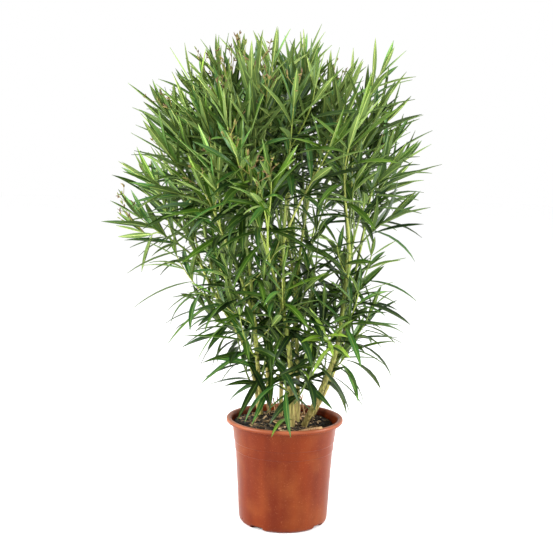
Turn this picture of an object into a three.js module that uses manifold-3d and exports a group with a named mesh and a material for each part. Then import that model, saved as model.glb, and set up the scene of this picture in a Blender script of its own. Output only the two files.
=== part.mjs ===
// A potted oleander: nine stems from one clump, in a round nursery pot moulded in plastic.
// Each stem stands on the compost, and forks into two boughs, which end where the foliage begins.
// Each mass of foliage has a leader that goes on from its bough, two side shoots, and narrow
// leaves set in whorls of three. Low shoots rise beside every stem and bear older leaves.
// Units are millimetres, +Z is up, and the origin is the middle of the pot's flat underside.
import * as THREE from "three";
import { mergeVertices } from "three/addons/utils/BufferGeometryUtils.js";
import Module from "manifold-3d";

const wasm = await Module();
wasm.setup();

// ---------------------------------------------------------------- driving dimensions

const GAP = 0.3; // clearance between neighbouring pieces

const POT = {
  sides: 36,
  height: 217,
  rimRadius: 120, // over the lip
  lipThickness: 8,
  mouthRadius: 110, // inside the lip
  collarTop: 108, // radii of the collar, the band that stands out below the lip
  collarFoot: 103.5,
  collarHeight: 47, // from the rim down to the collar's lower edge
  beadDrop: 19, // from the collar's lower edge to the bead line
  step: 1.2, // how far the wall steps in at those two edges
  bandTaper: 0.8, // how much the wall narrows between them
  edge: 1, // height of each step's slope
  lipRound: 5, // radius of the lip's outer edge, and of its inner edge
  mouthRound: 3,
  ledge: 1.5, // how much wider the inside is above the collar's lower edge
  heelRadius: 91.5, // the wall just above the rounded heel
  heelHeight: 11,
  footRadius: 84, // the flat underside
  wall: 2,
  floor: 3,
  floorRound: 6, // the rounded corner inside, between wall and floor
};

// Four drain notches cut up through the heel.
const NOTCH = { count: 4, turn: -37, width: 30, height: 8, innerRadius: 71 };

const COMPOST_TOP = 203;
const COMPOST_EDGE = 5; // how far the compost rounds off at the pot's wall
const COMPOST_CLEAR = 1; // how far it has shrunk from the wall there

// foot: where the stem stands, in x and y. heading: the side of the crown that it feeds, in
// degrees from +X towards +Y. reach and height: how far out and how high it forks.
// lean: degrees from the vertical at the foot and at the fork. radius: at the foot.
// dip: how many degrees lower on the dome than the others its low bough ends.
// A stem that stands inside the clump, by its short reach, feeds the crown's middle.
const INNER_REACH = 60;
const STEMS = [
  { name: "left", foot: [-52, 48], heading: 176, reach: 125, height: 430, radius: 5.6, lean: [6, 38], dip: 9 },
  { name: "left_front", foot: [-50, 26], heading: 229, reach: 96, height: 425, radius: 5, lean: [2, 16] },
  { name: "front", foot: [14, -34], heading: 266, reach: 76, height: 440, radius: 6.8, lean: [-2, 22] },
  { name: "right_front", foot: [40, -14], heading: 334, reach: 122, height: 445, radius: 6.8, lean: [26, 2] },
  { name: "right_back", foot: [56, 56], heading: 26, reach: 140, height: 405, radius: 6, lean: [30, 8] },
  { name: "back", foot: [8, 84], heading: 77, reach: 112, height: 430, radius: 5, lean: [3, 18] },
  { name: "left_back", foot: [-32, 78], heading: 127, reach: 106, height: 440, radius: 4.6, lean: [6, 22] },
  { name: "middle_front", foot: [27, 12], heading: 300, reach: 34, height: 480, radius: 5, lean: [0, 8] },
  { name: "middle_back", foot: [-8, 46], heading: 110, reach: 46, height: 490, radius: 4.6, lean: [0, 6] },
];

// The shoots' tips lie on a dome, a little off the pot's axis.
// It is fuller at its shoulders than an ellipsoid, as the two powers below 1 make it.
const CROWN = { centre: [-26, 0, 560], spread: 270, rise: 344, outPower: 0.8, upPower: 0.6 };

// Where a bough's tip comes on the dome: polar angle from the top, turn from the stem's own
// heading, and lean of the shoot at its tip. All in degrees.
const OUTER_BOUGHS = [
  { name: "low", polar: 73, turn: -12, lean: 44, dips: true },
  { name: "high", polar: 46, turn: 12, lean: 26 },
];
const INNER_BOUGHS = [
  { name: "front", polar: 17, turn: -50, lean: 9 },
  { name: "back", polar: 17, turn: 50, lean: 9 },
];
const SIDE_SHOOTS = [
  { turn: -15, polar: -13, from: 0.07 },
  { turn: 14, polar: 10, from: 0.14 },
];
const SIDE_SCALE = [0.95, 1.03]; // how far out towards the dome a side shoot reaches
const SIDE_LEAN = { share: 0.7, least: 4, most: 72 }; // how its lean follows its polar angle
const LEAST_SINE = 0.45; // near the top a shoot turns no further round than at this sine
const FORK_AT = 0.975; // the share of a stem's length at which its boughs start
const BOUGH_TURN = 0.9; // how strongly a bough and a side shoot turn towards their tips at once
const SIDE_TURN = 1.2;
const BOUGH_SHARE = 0.27; // the share of the way from fork to tip that is bare bough
const WANDER = 4; // seeded scatter of each tip on the dome, in degrees
const PULL = 0.36; // how far each end's direction carries into a curve

const STEM_TIP_RADIUS = 4.2;
const FLARE = { radius: 2.2, height: 14 }; // root flare at the foot
const BOUGH = { radius: 3.4, tipRadius: 2.7, sides: 5, steps: 3 };
const STEM = { sides: 7, steps: 7 };
const TWIG = { radius: 3.2, tipRadius: 1.9, sides: 3, steps: 3 };

// Low side shoots: how far up an outer or inner stem they start, their turn from its heading,
// their length and their lean, and the seeded ranges by which turn and length differ.
const LOW_SHOOT = {
  from: [0.15, 0.31],
  innerFrom: [0.55, 0.71],
  turn: 62,
  turnRange: [0.6, 1],
  length: 235,
  lengthRange: [0.85, 1.15],
  lean: [36, 2],
  age: 0.45, // how far its leaves have spread, as a share
};
// Each outer one bears a second shoot, turned from it.
const LOW_FORK = { from: 0.34, turn: 60, lean: [44, 8], share: 0.74 };

const LEAF = {
  length: 138,
  lengthRange: [0.9, 1.1],
  youngLength: 84, // at a shoot's tip
  youngShare: 0.25, // how far a leaf has grown at the tip, and where it is full grown
  grownAt: 70,
  width: 23,
  youngWidth: 0.72, // share of the full width at the tip
  thickness: 2,
  arch: 2.6, // how far its middle stands above the line from root to tip
  widest: 0.45,
  perWhorl: 3,
  topWhorl: 10, // how far below the shoot's tip the first whorl sits
  covered: 0.93, // the share of a shoot that bears leaves
  spacing: 45, // between whorls
  tipAngle: 17, // from the shoot, in degrees, at its tip and at its foot
  footAngle: 64,
  ripeAt: 230, // how far from the tip a leaf is fully spread
  opening: 0.8, // the power by which it opens on the way
  facing: 0.4, // how far an old leaf turns its face up
  turnScatter: 24,
  angleScatter: 12,
  droop: 0.34, // how far a leaf at a shoot's foot sags
  droopRange: [0.6, 1.4],
  foot: 0.12, // the share of its length that may cross its neighbours where they meet
  attempts: 3, // how often a leaf is drawn again where it finds no room
};

// Each mass keeps to its own space. reach: how far a leaf may pass halfway to another mass's
// shoot. clear: how far it keeps from one. sampled: how closely the shoots are measured.
// spots: where on a leaf's length it is measured.
const SPACE = { reach: 30, clear: 3, sampled: 12, spots: [0.25, 0.45, 0.7, 0.85, 1] };

const SEEDS = { crown: 300, low: 600, leaves: 1200, lowLeaves: 2000, perStem: 10 };
const WELD = 1e-4; // vertices nearer than this are one
const FLATNESS = 0.02; // faces within this of one plane are merged

// ---------------------------------------------------------------- small helpers

const radians = THREE.MathUtils.degToRad;
const mix = THREE.MathUtils.lerp;
const point = (x, y, z) => new THREE.Vector3(x, y, z);
const UP = point(0, 0, 1);
const between = (random, [low, high]) => low + (high - low) * random();
const isInner = (stem) => stem.reach < INNER_REACH;

// Numbers from 0 to 1, the same for the same seed.
function randomFrom(seed) {
  let state = seed >>> 0;
  return () => {
    state = (state + 0x6d2b79f5) >>> 0;
    let t = Math.imul(state ^ (state >>> 15), state | 1);
    t ^= t + Math.imul(t ^ (t >>> 7), t | 61);
    return ((t ^ (t >>> 14)) >>> 0) / 4294967296;
  };
}

// A unit vector leaning by `lean` degrees from the vertical towards `bearing`.
function leaning(lean, bearing) {
  const out = Math.sin(radians(lean));
  const a = radians(bearing);
  return point(out * Math.cos(a), out * Math.sin(a), Math.cos(radians(lean)));
}

// A place on the dome, or a share `scale` of the way out to it.
function onCrown(bearing, polar, scale = 1) {
  const [x, y, z] = CROWN.centre;
  const up = Math.cos(radians(polar));
  const out = CROWN.spread * scale * Math.sin(radians(polar)) ** CROWN.outPower;
  const rise = CROWN.rise * scale * Math.sign(up) * Math.abs(up) ** CROWN.upPower;
  const a = radians(bearing);
  return point(x + out * Math.cos(a), y + out * Math.sin(a), z + rise);
}

// The smooth path that leaves `start` along `startAim` and arrives at `end` along `endAim`.
function sweep(start, startAim, end, endAim) {
  const pull = PULL * start.distanceTo(end);
  return new THREE.CubicBezierCurve3(
    start,
    start.clone().addScaledVector(startAim, pull),
    end.clone().addScaledVector(endAim, -pull),
    end,
  );
}

// Part of a path, from one share of its length to another.
class Stretch extends THREE.Curve {
  constructor(whole, from, to) {
    super();
    this.whole = whole;
    this.from = from;
    this.to = to;
  }
  getPoint(t, target = new THREE.Vector3()) {
    return target.copy(this.whole.getPointAt(mix(this.from, this.to, t)));
  }
}

// ---------------------------------------------------------------- solids

function toSolid(geometry) {
  const bare = new THREE.BufferGeometry().setAttribute("position", geometry.getAttribute("position"));
  if (geometry.index) bare.setIndex(geometry.index);
  const merged = mergeVertices(bare, WELD);
  return new wasm.Manifold(
    new wasm.Mesh({
      numProp: 3,
      vertProperties: new Float32Array(merged.attributes.position.array),
      triVerts: new Uint32Array(merged.index.array),
    }),
  );
}

function toGeometry(solid) {
  const mesh = solid.simplify(FLATNESS).getMesh();
  const geometry = new THREE.BufferGeometry();
  geometry.setAttribute("position", new THREE.BufferAttribute(mesh.vertProperties, 3));
  geometry.setIndex(new THREE.BufferAttribute(mesh.triVerts, 1));
  geometry.computeVertexNormals();
  return geometry;
}

function largestPiece(solid) {
  return solid.decompose().sort((a, b) => b.volume() - a.volume())[0];
}

// A profile of (radius, height) points turned round the Z axis.
function turned(profile, sides) {
  return toSolid(new THREE.LatheGeometry(profile, sides).rotateX(Math.PI / 2));
}

// A closed tube along a path: a unit cylinder whose rings are carried along the curve.
// `grow` makes it that much thicker and longer at both ends. A `level` end is cut level at
// that height, as a stem's foot is.
function tube({ path, radiusAt, sides, steps, grow = 0, level = null }) {
  const geometry = new THREE.CylinderGeometry(1, 1, 1, sides, steps);
  const frames = path.computeFrenetFrames(steps, false);
  const place = geometry.getAttribute("position");
  for (let i = 0; i < place.count; i += 1) {
    const along = place.getY(i) + 0.5;
    const ring = Math.round(along * steps);
    const normal = frames.normals[ring];
    const aim = frames.tangents[ring];
    const across = point(0, 0, 0).crossVectors(normal, aim);
    const radius = radiusAt(along) + grow;
    const p = path
      .getPointAt(along)
      .addScaledVector(normal, place.getX(i) * radius)
      .addScaledVector(across, place.getZ(i) * radius);
    if (ring === 0) p.addScaledVector(aim, level === null ? -grow : (level - grow - p.z) / aim.z);
    if (ring === steps) p.addScaledVector(aim, grow);
    place.setXYZ(i, p.x, p.y, p.z);
  }
  return toSolid(geometry);
}

// A leaf of six faces: a root and a tip, a widest line between them whose ends stand a little
// higher, and a keel under its middle.
function leafSolid({ root, aim, normal, length, width }) {
  const waist = LEAF.widest * length;
  const corners = [
    [0, 0, 0],
    [waist, -width / 2, LEAF.arch],
    [waist, width / 2, LEAF.arch],
    [waist, 0, LEAF.arch - LEAF.thickness],
    [length, 0, 0],
  ];
  const [ROOT, LEFT, RIGHT, KEEL, TIP] = [0, 1, 2, 3, 4];
  const blade = [ROOT, LEFT, RIGHT, LEFT, TIP, RIGHT];
  const underside = [ROOT, KEEL, LEFT, ROOT, RIGHT, KEEL, LEFT, KEEL, TIP, KEEL, RIGHT, TIP];
  const across = point(0, 0, 0).crossVectors(normal, aim);
  const basis = new THREE.Matrix4().makeBasis(aim, across, normal).setPosition(root);
  const geometry = new THREE.BufferGeometry();
  geometry.setAttribute("position", new THREE.Float32BufferAttribute(corners.flat(), 3));
  geometry.setIndex([...blade, ...underside]);
  return toSolid(geometry.applyMatrix4(basis));
}

// ---------------------------------------------------------------- pot and compost

function notchBoxes(grow) {
  const outer = POT.rimRadius;
  const length = outer - NOTCH.innerRadius + grow;
  return Array.from({ length: NOTCH.count }, (_, i) => {
    const box = new THREE.BoxGeometry(length, NOTCH.width + 2 * grow, 2 * (NOTCH.height + grow));
    box.translate(outer - length / 2, 0, 0);
    box.rotateZ(radians(NOTCH.turn + (360 / NOTCH.count) * i));
    return toSolid(box);
  });
}

// The wall's outer radius below the bead line, on its taper to the heel.
function wallRadius(height) {
  const beadHeight = POT.height - POT.collarHeight - POT.beadDrop;
  const top = POT.collarFoot - 2 * POT.step - POT.bandTaper;
  return mix(POT.heelRadius, top, (height - POT.heelHeight) / (beadHeight - POT.heelHeight));
}

// The inside of the wall, `clear` millimetres away from it.
function insideRadius(height, clear) {
  return wallRadius(height) - POT.wall - clear;
}

function makePot() {
  const collarEdge = POT.height - POT.collarHeight;
  const bead = collarEdge - POT.beadDrop;
  const lipUnder = POT.height - POT.lipThickness;
  const outline = new THREE.Path();
  outline.moveTo(0, 0);
  outline.lineTo(POT.footRadius, 0);
  outline.quadraticCurveTo(POT.heelRadius - POT.edge, POT.edge, POT.heelRadius, POT.heelHeight);
  outline.lineTo(wallRadius(bead), bead);
  outline.lineTo(wallRadius(bead) + POT.step, bead + POT.edge);
  outline.lineTo(POT.collarFoot - POT.step, collarEdge - POT.edge);
  outline.lineTo(POT.collarFoot, collarEdge);
  outline.lineTo(POT.collarTop, lipUnder - POT.edge);
  outline.lineTo(POT.rimRadius - POT.edge, lipUnder);
  outline.lineTo(POT.rimRadius, lipUnder + 2 * POT.edge);
  outline.quadraticCurveTo(POT.rimRadius, POT.height, POT.rimRadius - POT.lipRound, POT.height);
  outline.lineTo(POT.mouthRadius + 2 * POT.edge, POT.height);
  outline.quadraticCurveTo(
    POT.mouthRadius,
    POT.height,
    POT.mouthRadius - POT.edge,
    POT.height - POT.mouthRound,
  );
  outline.lineTo(insideRadius(collarEdge, 0) + POT.ledge, collarEdge);
  outline.lineTo(insideRadius(POT.floor + POT.floorRound, 0), POT.floor + POT.floorRound);
  outline.lineTo(insideRadius(POT.floor, 0) - POT.floorRound, POT.floor);
  outline.lineTo(0, POT.floor);
  const shell = turned(outline.getPoints(3), POT.sides);
  return shell.subtract(wasm.Manifold.union(notchBoxes(0)));
}

function makeCompost() {
  const collarEdge = POT.height - POT.collarHeight;
  const outline = new THREE.Path();
  const bottom = POT.floor + GAP;
  const inside = mix(insideRadius(collarEdge, 0) + POT.ledge, POT.mouthRadius - POT.edge, 0.5);
  const rim = inside - COMPOST_CLEAR;
  outline.moveTo(0, bottom);
  outline.lineTo(insideRadius(bottom, 2 * GAP) - POT.floorRound, bottom);
  outline.lineTo(insideRadius(POT.floor + POT.floorRound, 2 * GAP), POT.floor + POT.floorRound + GAP);
  outline.lineTo(insideRadius(collarEdge, 2 * GAP) + POT.ledge, collarEdge);
  outline.lineTo(rim, COMPOST_TOP - COMPOST_EDGE);
  outline.lineTo(rim - COMPOST_EDGE, COMPOST_TOP);
  outline.lineTo(0, COMPOST_TOP);
  const fill = turned(outline.getPoints(1), POT.sides);
  return fill.subtract(wasm.Manifold.union(notchBoxes(GAP)));
}

// ---------------------------------------------------------------- the plant's skeleton

function stemPath(stem) {
  const a = radians(stem.heading);
  const foot = point(stem.foot[0], stem.foot[1], COMPOST_TOP + GAP);
  const fork = point(stem.reach * Math.cos(a), stem.reach * Math.sin(a), stem.height);
  const bearing = THREE.MathUtils.radToDeg(Math.atan2(fork.y - foot.y, fork.x - foot.x));
  return sweep(foot, leaning(stem.lean[0], bearing), fork, leaning(stem.lean[1], bearing));
}

// The paths of one mass: its bough, the leader that goes on from it, and the side shoots.
function crownPaths(stem, trunk, bough, seed) {
  const random = randomFrom(seed);
  const scatter = () => (random() * 2 - 1) * WANDER;
  const bearing = stem.heading + bough.turn + scatter();
  const polar = bough.polar + (bough.dips ? (stem.dip ?? 0) : 0) + scatter();
  const tip = onCrown(bearing, polar);
  const start = trunk.getPointAt(FORK_AT);
  const startAim = trunk
    .getTangentAt(1)
    .addScaledVector(tip.clone().sub(start).normalize(), BOUGH_TURN)
    .normalize();
  const whole = sweep(start, startAim, tip, leaning(bough.lean, bearing));
  const gapShare = GAP / whole.getLength();
  const shoots = [new Stretch(whole, BOUGH_SHARE + gapShare, 1)];
  for (const side of SIDE_SHOOTS) {
    const sine = Math.max(LEAST_SINE, Math.sin(radians(polar)));
    const sideBearing = bearing + (side.turn + scatter()) / sine;
    const sidePolar = polar + side.polar + scatter();
    const end = onCrown(sideBearing, sidePolar, between(random, SIDE_SCALE));
    const origin = onTwig(shoots[0], side.from);
    const aim = shoots[0]
      .getTangentAt(side.from)
      .addScaledVector(end.clone().sub(origin).normalize(), SIDE_TURN)
      .normalize();
    const leanThere = bough.lean + SIDE_LEAN.share * side.polar;
    const lean = THREE.MathUtils.clamp(leanThere, SIDE_LEAN.least, SIDE_LEAN.most);
    shoots.push(sweep(origin, aim, end, leaning(lean, sideBearing)));
  }
  return { bough: new Stretch(whole, 0, BOUGH_SHARE), shoots };
}

// The path that leaves `start` towards `bearing`, its lean from the vertical easing on the way.
function risingPath(start, bearing, lean, length) {
  const startAim = leaning(lean[0], bearing);
  const endAim = leaning(lean[1], bearing);
  const end = start.clone().addScaledVector(startAim.clone().add(endAim).normalize(), length);
  return sweep(start, startAim, end, endAim);
}

// A low mass's shoots: one from the stem and, outside the clump, one that forks from it.
function lowPaths(stem, trunk, index) {
  const random = randomFrom(SEEDS.low + index);
  const start = trunk.getPointAt(between(random, isInner(stem) ? LOW_SHOOT.innerFrom : LOW_SHOOT.from));
  const turn = (isInner(stem) ? 0 : LOW_SHOOT.turn) * between(random, LOW_SHOOT.turnRange);
  const bearing = stem.heading + turn;
  const length = LOW_SHOOT.length * between(random, LOW_SHOOT.lengthRange);
  const shoot = risingPath(start, bearing, LOW_SHOOT.lean, length);
  if (isInner(stem)) return [shoot];
  const forkStart = onTwig(shoot, LOW_FORK.from);
  const fork = risingPath(forkStart, bearing + LOW_FORK.turn, LOW_FORK.lean, length * LOW_FORK.share);
  return [shoot, fork];
}

// A place on the straight pieces that a twig is made of, which cut a little inside its curve.
function onTwig(path, at) {
  const piece = Math.min(TWIG.steps - 1, Math.floor(at * TWIG.steps));
  const from = path.getPointAt(piece / TWIG.steps);
  return from.lerp(path.getPointAt((piece + 1) / TWIG.steps), at * TWIG.steps - piece);
}

// ---------------------------------------------------------------- limbs

const limbs = []; // every stem and bough: its name, its solid, and a copy grown by the gap

function addLimb(name, spec, parents) {
  let solid = tube(spec);
  for (const parent of parents) solid = solid.subtract(parent.grown);
  const limb = {
    name,
    solid: parents.length ? largestPiece(solid) : solid,
    grown: tube({ ...spec, grow: GAP }),
  };
  limbs.push(limb);
  return limb;
}

// ---------------------------------------------------------------- foliage

const masses = []; // every mass: its name, shoots, points along them, seed, age and solid

function addMass(name, shoots, seed, options = {}) {
  const samples = shoots.flatMap((path) =>
    path.getSpacedPoints(Math.ceil(path.getLength() / SPACE.sampled)),
  );
  masses.push({ name, shoots, seed, samples, age: 0, ...options });
}

// The distance from a point to the nearest of some samples.
function nearest(samples, p) {
  return Math.sqrt(samples.reduce((least, s) => Math.min(least, s.distanceToSquared(p)), Infinity));
}

// Points on a leaf's midrib and edges, from its root out.
function spotsOf(leaf) {
  const across = point(0, 0, 0).crossVectors(leaf.normal, leaf.aim);
  return SPACE.spots.flatMap((along) => {
    const share = along < LEAF.widest ? along / LEAF.widest : (1 - along) / (1 - LEAF.widest);
    const middle = leaf.root
      .clone()
      .addScaledVector(leaf.aim, leaf.length * along)
      .addScaledVector(leaf.normal, LEAF.arch * share);
    return [-0.5, 0, 0.5].map((side) => middle.clone().addScaledVector(across, side * leaf.width * share));
  });
}

// True if the blade stays in its mass's space: not much nearer to another mass's shoots than to
// its own.
function staysInSpace(leaf, mass) {
  return spotsOf(leaf).every((p) => {
    const least = nearest(mass.samples, p) - SPACE.reach;
    return masses.every((m) => m === mass || nearest(m.samples, p) > Math.max(least, SPACE.clear));
  });
}

// One leaf of a whorl: `back` is how far it is from the shoot's tip, `turn` its place round it.
function drawLeaf(path, mass, back, turn, random) {
  const at = 1 - back / path.getLength();
  const age = Math.min(1, mass.age + back / LEAF.ripeAt);
  const tangent = path.getTangentAt(at);
  const side = point(0, 0, 0).crossVectors(tangent, UP).normalize();
  const front = point(0, 0, 0).crossVectors(side, tangent);
  const round = radians(turn + (random() - 0.5) * LEAF.turnScatter);
  const open = mix(LEAF.tipAngle, LEAF.footAngle, age ** LEAF.opening);
  const angle = radians(open + (random() - 0.5) * LEAF.angleScatter);
  const out = side.multiplyScalar(Math.cos(round)).addScaledVector(front, Math.sin(round));
  const aim = out.multiplyScalar(Math.sin(angle)).addScaledVector(tangent, Math.cos(angle));
  aim.z -= LEAF.droop * age * between(random, LEAF.droopRange);
  aim.normalize();
  const normal = tangent.clone().addScaledVector(UP, LEAF.facing * age);
  normal.addScaledVector(aim, -normal.dot(aim)).normalize();
  const grown = Math.min(1, LEAF.youngShare + back / LEAF.grownAt);
  return {
    root: onTwig(path, at),
    aim,
    normal,
    length: mix(LEAF.youngLength, LEAF.length, grown) * between(random, LEAF.lengthRange),
    width: LEAF.width * mix(LEAF.youngWidth, 1, grown),
  };
}

// The same leaf without its foot, which may cross its neighbours where they leave the shoot.
const bladeOf = (leaf) =>
  leafSolid({
    ...leaf,
    root: leaf.root.clone().addScaledVector(leaf.aim, LEAF.foot * leaf.length),
    length: (1 - LEAF.foot) * leaf.length,
  });

// The leader and side shoots of a mass, joined.
function makeTwigs(mass) {
  const radiusAt = (t) => mix(TWIG.radius, TWIG.tipRadius, t);
  const tubes = mass.shoots.map((path) => tube({ path, radiusAt, ...TWIG }));
  if (mass.parent) tubes[0] = largestPiece(tubes[0].subtract(mass.parent.grown));
  return wasm.Manifold.union(tubes);
}

// Sets the leaves that find room on a mass's twigs, whorl by whorl.
function growLeaves(mass) {
  const random = randomFrom(mass.seed);
  const neighbours = masses.filter((m) => m !== mass).map((m) => m.solid);
  const others = wasm.Manifold.union([...limbs.map((limb) => limb.grown), ...neighbours]);
  const hasRoom = (leaf) =>
    staysInSpace(leaf, mass) &&
    bladeOf(leaf).intersect(mass.solid).isEmpty() &&
    leafSolid(leaf).intersect(others).isEmpty();
  for (const path of mass.shoots) {
    const whorls = Math.ceil((path.getLength() * LEAF.covered - LEAF.topWhorl) / LEAF.spacing);
    const turnStart = random() * 360;
    for (let place = 0; place < whorls * LEAF.perWhorl; place += 1) {
      const whorl = Math.floor(place / LEAF.perWhorl);
      const back = LEAF.topWhorl + whorl * LEAF.spacing;
      const turn = turnStart + (place + whorl / 2) * (360 / LEAF.perWhorl);
      for (let attempt = 0; attempt < LEAF.attempts; attempt += 1) {
        const leaf = drawLeaf(path, mass, back, turn, random);
        if (!hasRoom(leaf)) continue;
        mass.solid = mass.solid.add(leafSolid(leaf));
        break;
      }
    }
  }
  mass.solid = largestPiece(mass.solid);
}

// ---------------------------------------------------------------- the assembly

const finish = (color, roughness) => new THREE.MeshStandardMaterial({ color, roughness, metalness: 0 });
const MATERIALS = {
  pot: finish("#b0553a", 0.5),
  compost: finish("#2c2118", 0.95),
  stem: finish("#8f8a4e", 0.75),
  bough: finish("#7f8c45", 0.7),
  foliage: finish("#3f7230", 0.55),
};

const plant = new THREE.Group();

function addNode(name, solid, material) {
  const mesh = new THREE.Mesh(toGeometry(solid), material);
  mesh.name = name;
  plant.add(mesh);
}

addNode("pot", makePot(), MATERIALS.pot);
addNode("compost", makeCompost(), MATERIALS.compost);

STEMS.forEach((stem, index) => {
  const path = stemPath(stem);
  const radiusAt = (t) =>
    mix(stem.radius, STEM_TIP_RADIUS, t) + FLARE.radius * Math.exp((-t * path.getLength()) / FLARE.height);
  const trunk = addLimb(`stem_${stem.name}`, { path, radiusAt, level: COMPOST_TOP + GAP, ...STEM }, []);
  const parents = [trunk];
  (isInner(stem) ? INNER_BOUGHS : OUTER_BOUGHS).forEach((bough, k) => {
    const name = `${stem.name}_${bough.name}`;
    const number = index * SEEDS.perStem + k;
    const paths = crownPaths(stem, path, bough, SEEDS.crown + number);
    const boughRadius = (t) => mix(BOUGH.radius, BOUGH.tipRadius, t);
    const spec = { path: paths.bough, radiusAt: boughRadius, sides: BOUGH.sides, steps: BOUGH.steps };
    parents.push(addLimb(`bough_${name}`, spec, parents));
    addMass(`foliage_${name}`, paths.shoots, SEEDS.leaves + number);
  });
  addMass(`foliage_${stem.name}_foot`, lowPaths(stem, path, index), SEEDS.lowLeaves + index, {
    parent: trunk,
    age: LOW_SHOOT.age,
  });
});

for (const limb of limbs) {
  addNode(limb.name, limb.solid, limb.name.startsWith("stem") ? MATERIALS.stem : MATERIALS.bough);
}
for (const mass of masses) mass.solid = makeTwigs(mass);
for (const mass of masses) {
  growLeaves(mass);
  addNode(mass.name, mass.solid, MATERIALS.foliage);
}

export default plant;
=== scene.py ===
import math

import bpy
import numpy as np
from mathutils import Matrix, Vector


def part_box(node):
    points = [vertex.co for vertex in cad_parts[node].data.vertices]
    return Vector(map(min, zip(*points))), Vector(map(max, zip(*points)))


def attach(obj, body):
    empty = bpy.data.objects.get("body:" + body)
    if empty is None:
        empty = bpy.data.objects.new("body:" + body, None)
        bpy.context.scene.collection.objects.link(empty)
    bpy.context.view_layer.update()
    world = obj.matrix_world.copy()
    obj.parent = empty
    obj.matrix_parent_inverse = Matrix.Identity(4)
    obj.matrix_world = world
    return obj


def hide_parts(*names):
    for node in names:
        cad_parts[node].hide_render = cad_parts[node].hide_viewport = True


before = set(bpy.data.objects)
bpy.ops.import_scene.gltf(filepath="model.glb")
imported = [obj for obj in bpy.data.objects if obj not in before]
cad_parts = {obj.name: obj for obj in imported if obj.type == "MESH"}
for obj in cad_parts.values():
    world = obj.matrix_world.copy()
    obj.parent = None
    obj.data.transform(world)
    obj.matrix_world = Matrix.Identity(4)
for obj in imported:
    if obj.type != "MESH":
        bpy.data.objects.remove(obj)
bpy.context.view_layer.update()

# ---------------------------------------------------------------------------------- the pot
# A nursery pot, injection-moulded in terracotta-coloured polypropylene. It has a rounded lip over
# a collar, a wall that tapers to a rounded heel, and four drain notches cut up through the heel.
# It bears no mark, and has the dust and the faint scuffs of the nursery bench, and a painted highlight on
# top of the lip.

MM = 0.001
POT_LOW, POT_HIGH = (np.array(corner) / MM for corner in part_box("pot"))
RIM_RADIUS = (POT_HIGH[0] - POT_LOW[0]) / 2
POT_HEIGHT = POT_HIGH[2] - POT_LOW[2]
POT_WALL = 2.0
FLOOR = 3.0
LIP_THICKNESS = 8.0
MOUTH_RADIUS = RIM_RADIUS - 10
COLLAR_TOP = RIM_RADIUS - 12
COLLAR_FOOT = RIM_RADIUS - 16.5
COLLAR_EDGE = POT_HEIGHT - 47  # height of the collar's lower edge
BEAD_HEIGHT = COLLAR_EDGE - 19  # height of the fine bead line below it
HEEL_RADIUS = 91.5
HEEL_HEIGHT = 11.0
FOOT_RADIUS = 84.0
NOTCHES = 4
NOTCH_TURN = math.radians(-37)
NOTCH_WIDTH = 30.0
NOTCH_HEIGHT = 8.0
NOTCH_INNER_RADIUS = 71.0
NOTCH_SLOPE = 1.2  # width over which a notch's side rises
NOTCH_END_SLOPE = 1.5
NOTCH_COLUMNS = (-0.016, -0.006, 0.006, 0.016)  # radians about a notch's side, so that it is crisp
POT_TURNS = 180  # columns of faces round the pot, besides those at the notches' sides
OUTER_SHARE = 0.7  # of the outline's points: those of the underside and the outer wall
LIP_WEAR_AND_HIGHLIGHT = ((POT_HEIGHT - 7) * MM, (POT_HEIGHT - 1) * MM)  # heights over which it pales, with scuffs and with a painted highlight


def linear(hex_colour):
    """A colour written as sRGB hex, turned to linear light: c/12.92 up to 0.04045, and
    ((c + 0.055) / 1.055) to the power 2.4 above it."""
    channels = np.array([int(hex_colour[k : k + 2], 16) for k in (1, 3, 5)]) / 255
    light = np.where(channels <= 0.04045, channels / 12.92, ((channels + 0.055) / 1.055) ** 2.4)
    return (*light.tolist(), 1.0)


def add_node(material, kind, inputs=None, out=0, **settings):
    """Adds one shader node and gives its output `out`. `settings` are its own properties, and
    `inputs` maps a socket's name or number to a value, or to an output, which is linked."""
    tree = material.node_tree
    node = tree.nodes.new("ShaderNode" + kind)
    for name, value in settings.items():
        setattr(node, name, value)
    for socket, value in (inputs or {}).items():
        if isinstance(value, bpy.types.NodeSocket):
            tree.links.new(value, node.inputs[socket])
        else:
            node.inputs[socket].default_value = value
    return node.outputs[out]


def new_material(name, colour, roughness, ior=1.5, sheen=0.5):
    """A material whose one Principled shader has the given colour, roughness and IOR. `sheen` is
    its specular level: 0.5 is clean and smooth, and a dusty or grained skin returns less."""
    material = bpy.data.materials.new(name)
    material.use_nodes = True
    shader = material.node_tree.nodes["Principled BSDF"]
    shader.inputs["Base Color"].default_value = linear(colour)
    shader.inputs["Roughness"].default_value = roughness
    shader.inputs["IOR"].default_value = ior
    shader.inputs["Specular IOR Level"].default_value = sheen
    return material


def link_shader(material, **outputs):
    """Links outputs to the Principled shader's sockets, named with _ for each space."""
    shader = material.node_tree.nodes["Principled BSDF"]
    for socket, output in outputs.items():
        material.node_tree.links.new(output, shader.inputs[socket.replace("_", " ")])


def grain(size):
    """The scale of a noise or cell pattern on Object coordinates, which are metres, whose grains
    are `size` millimetres across: 1 / size."""
    return 1 / (size * MM)


def put(name, data):
    """Puts a mesh, a light or a camera into the scene as an object."""
    thing = bpy.data.objects.new(name, data)
    bpy.context.scene.collection.objects.link(thing)
    return thing


def full_turn(count):
    """Angles spaced evenly round a full circle."""
    return np.linspace(0, 2 * math.pi, count, endpoint=False)


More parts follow.
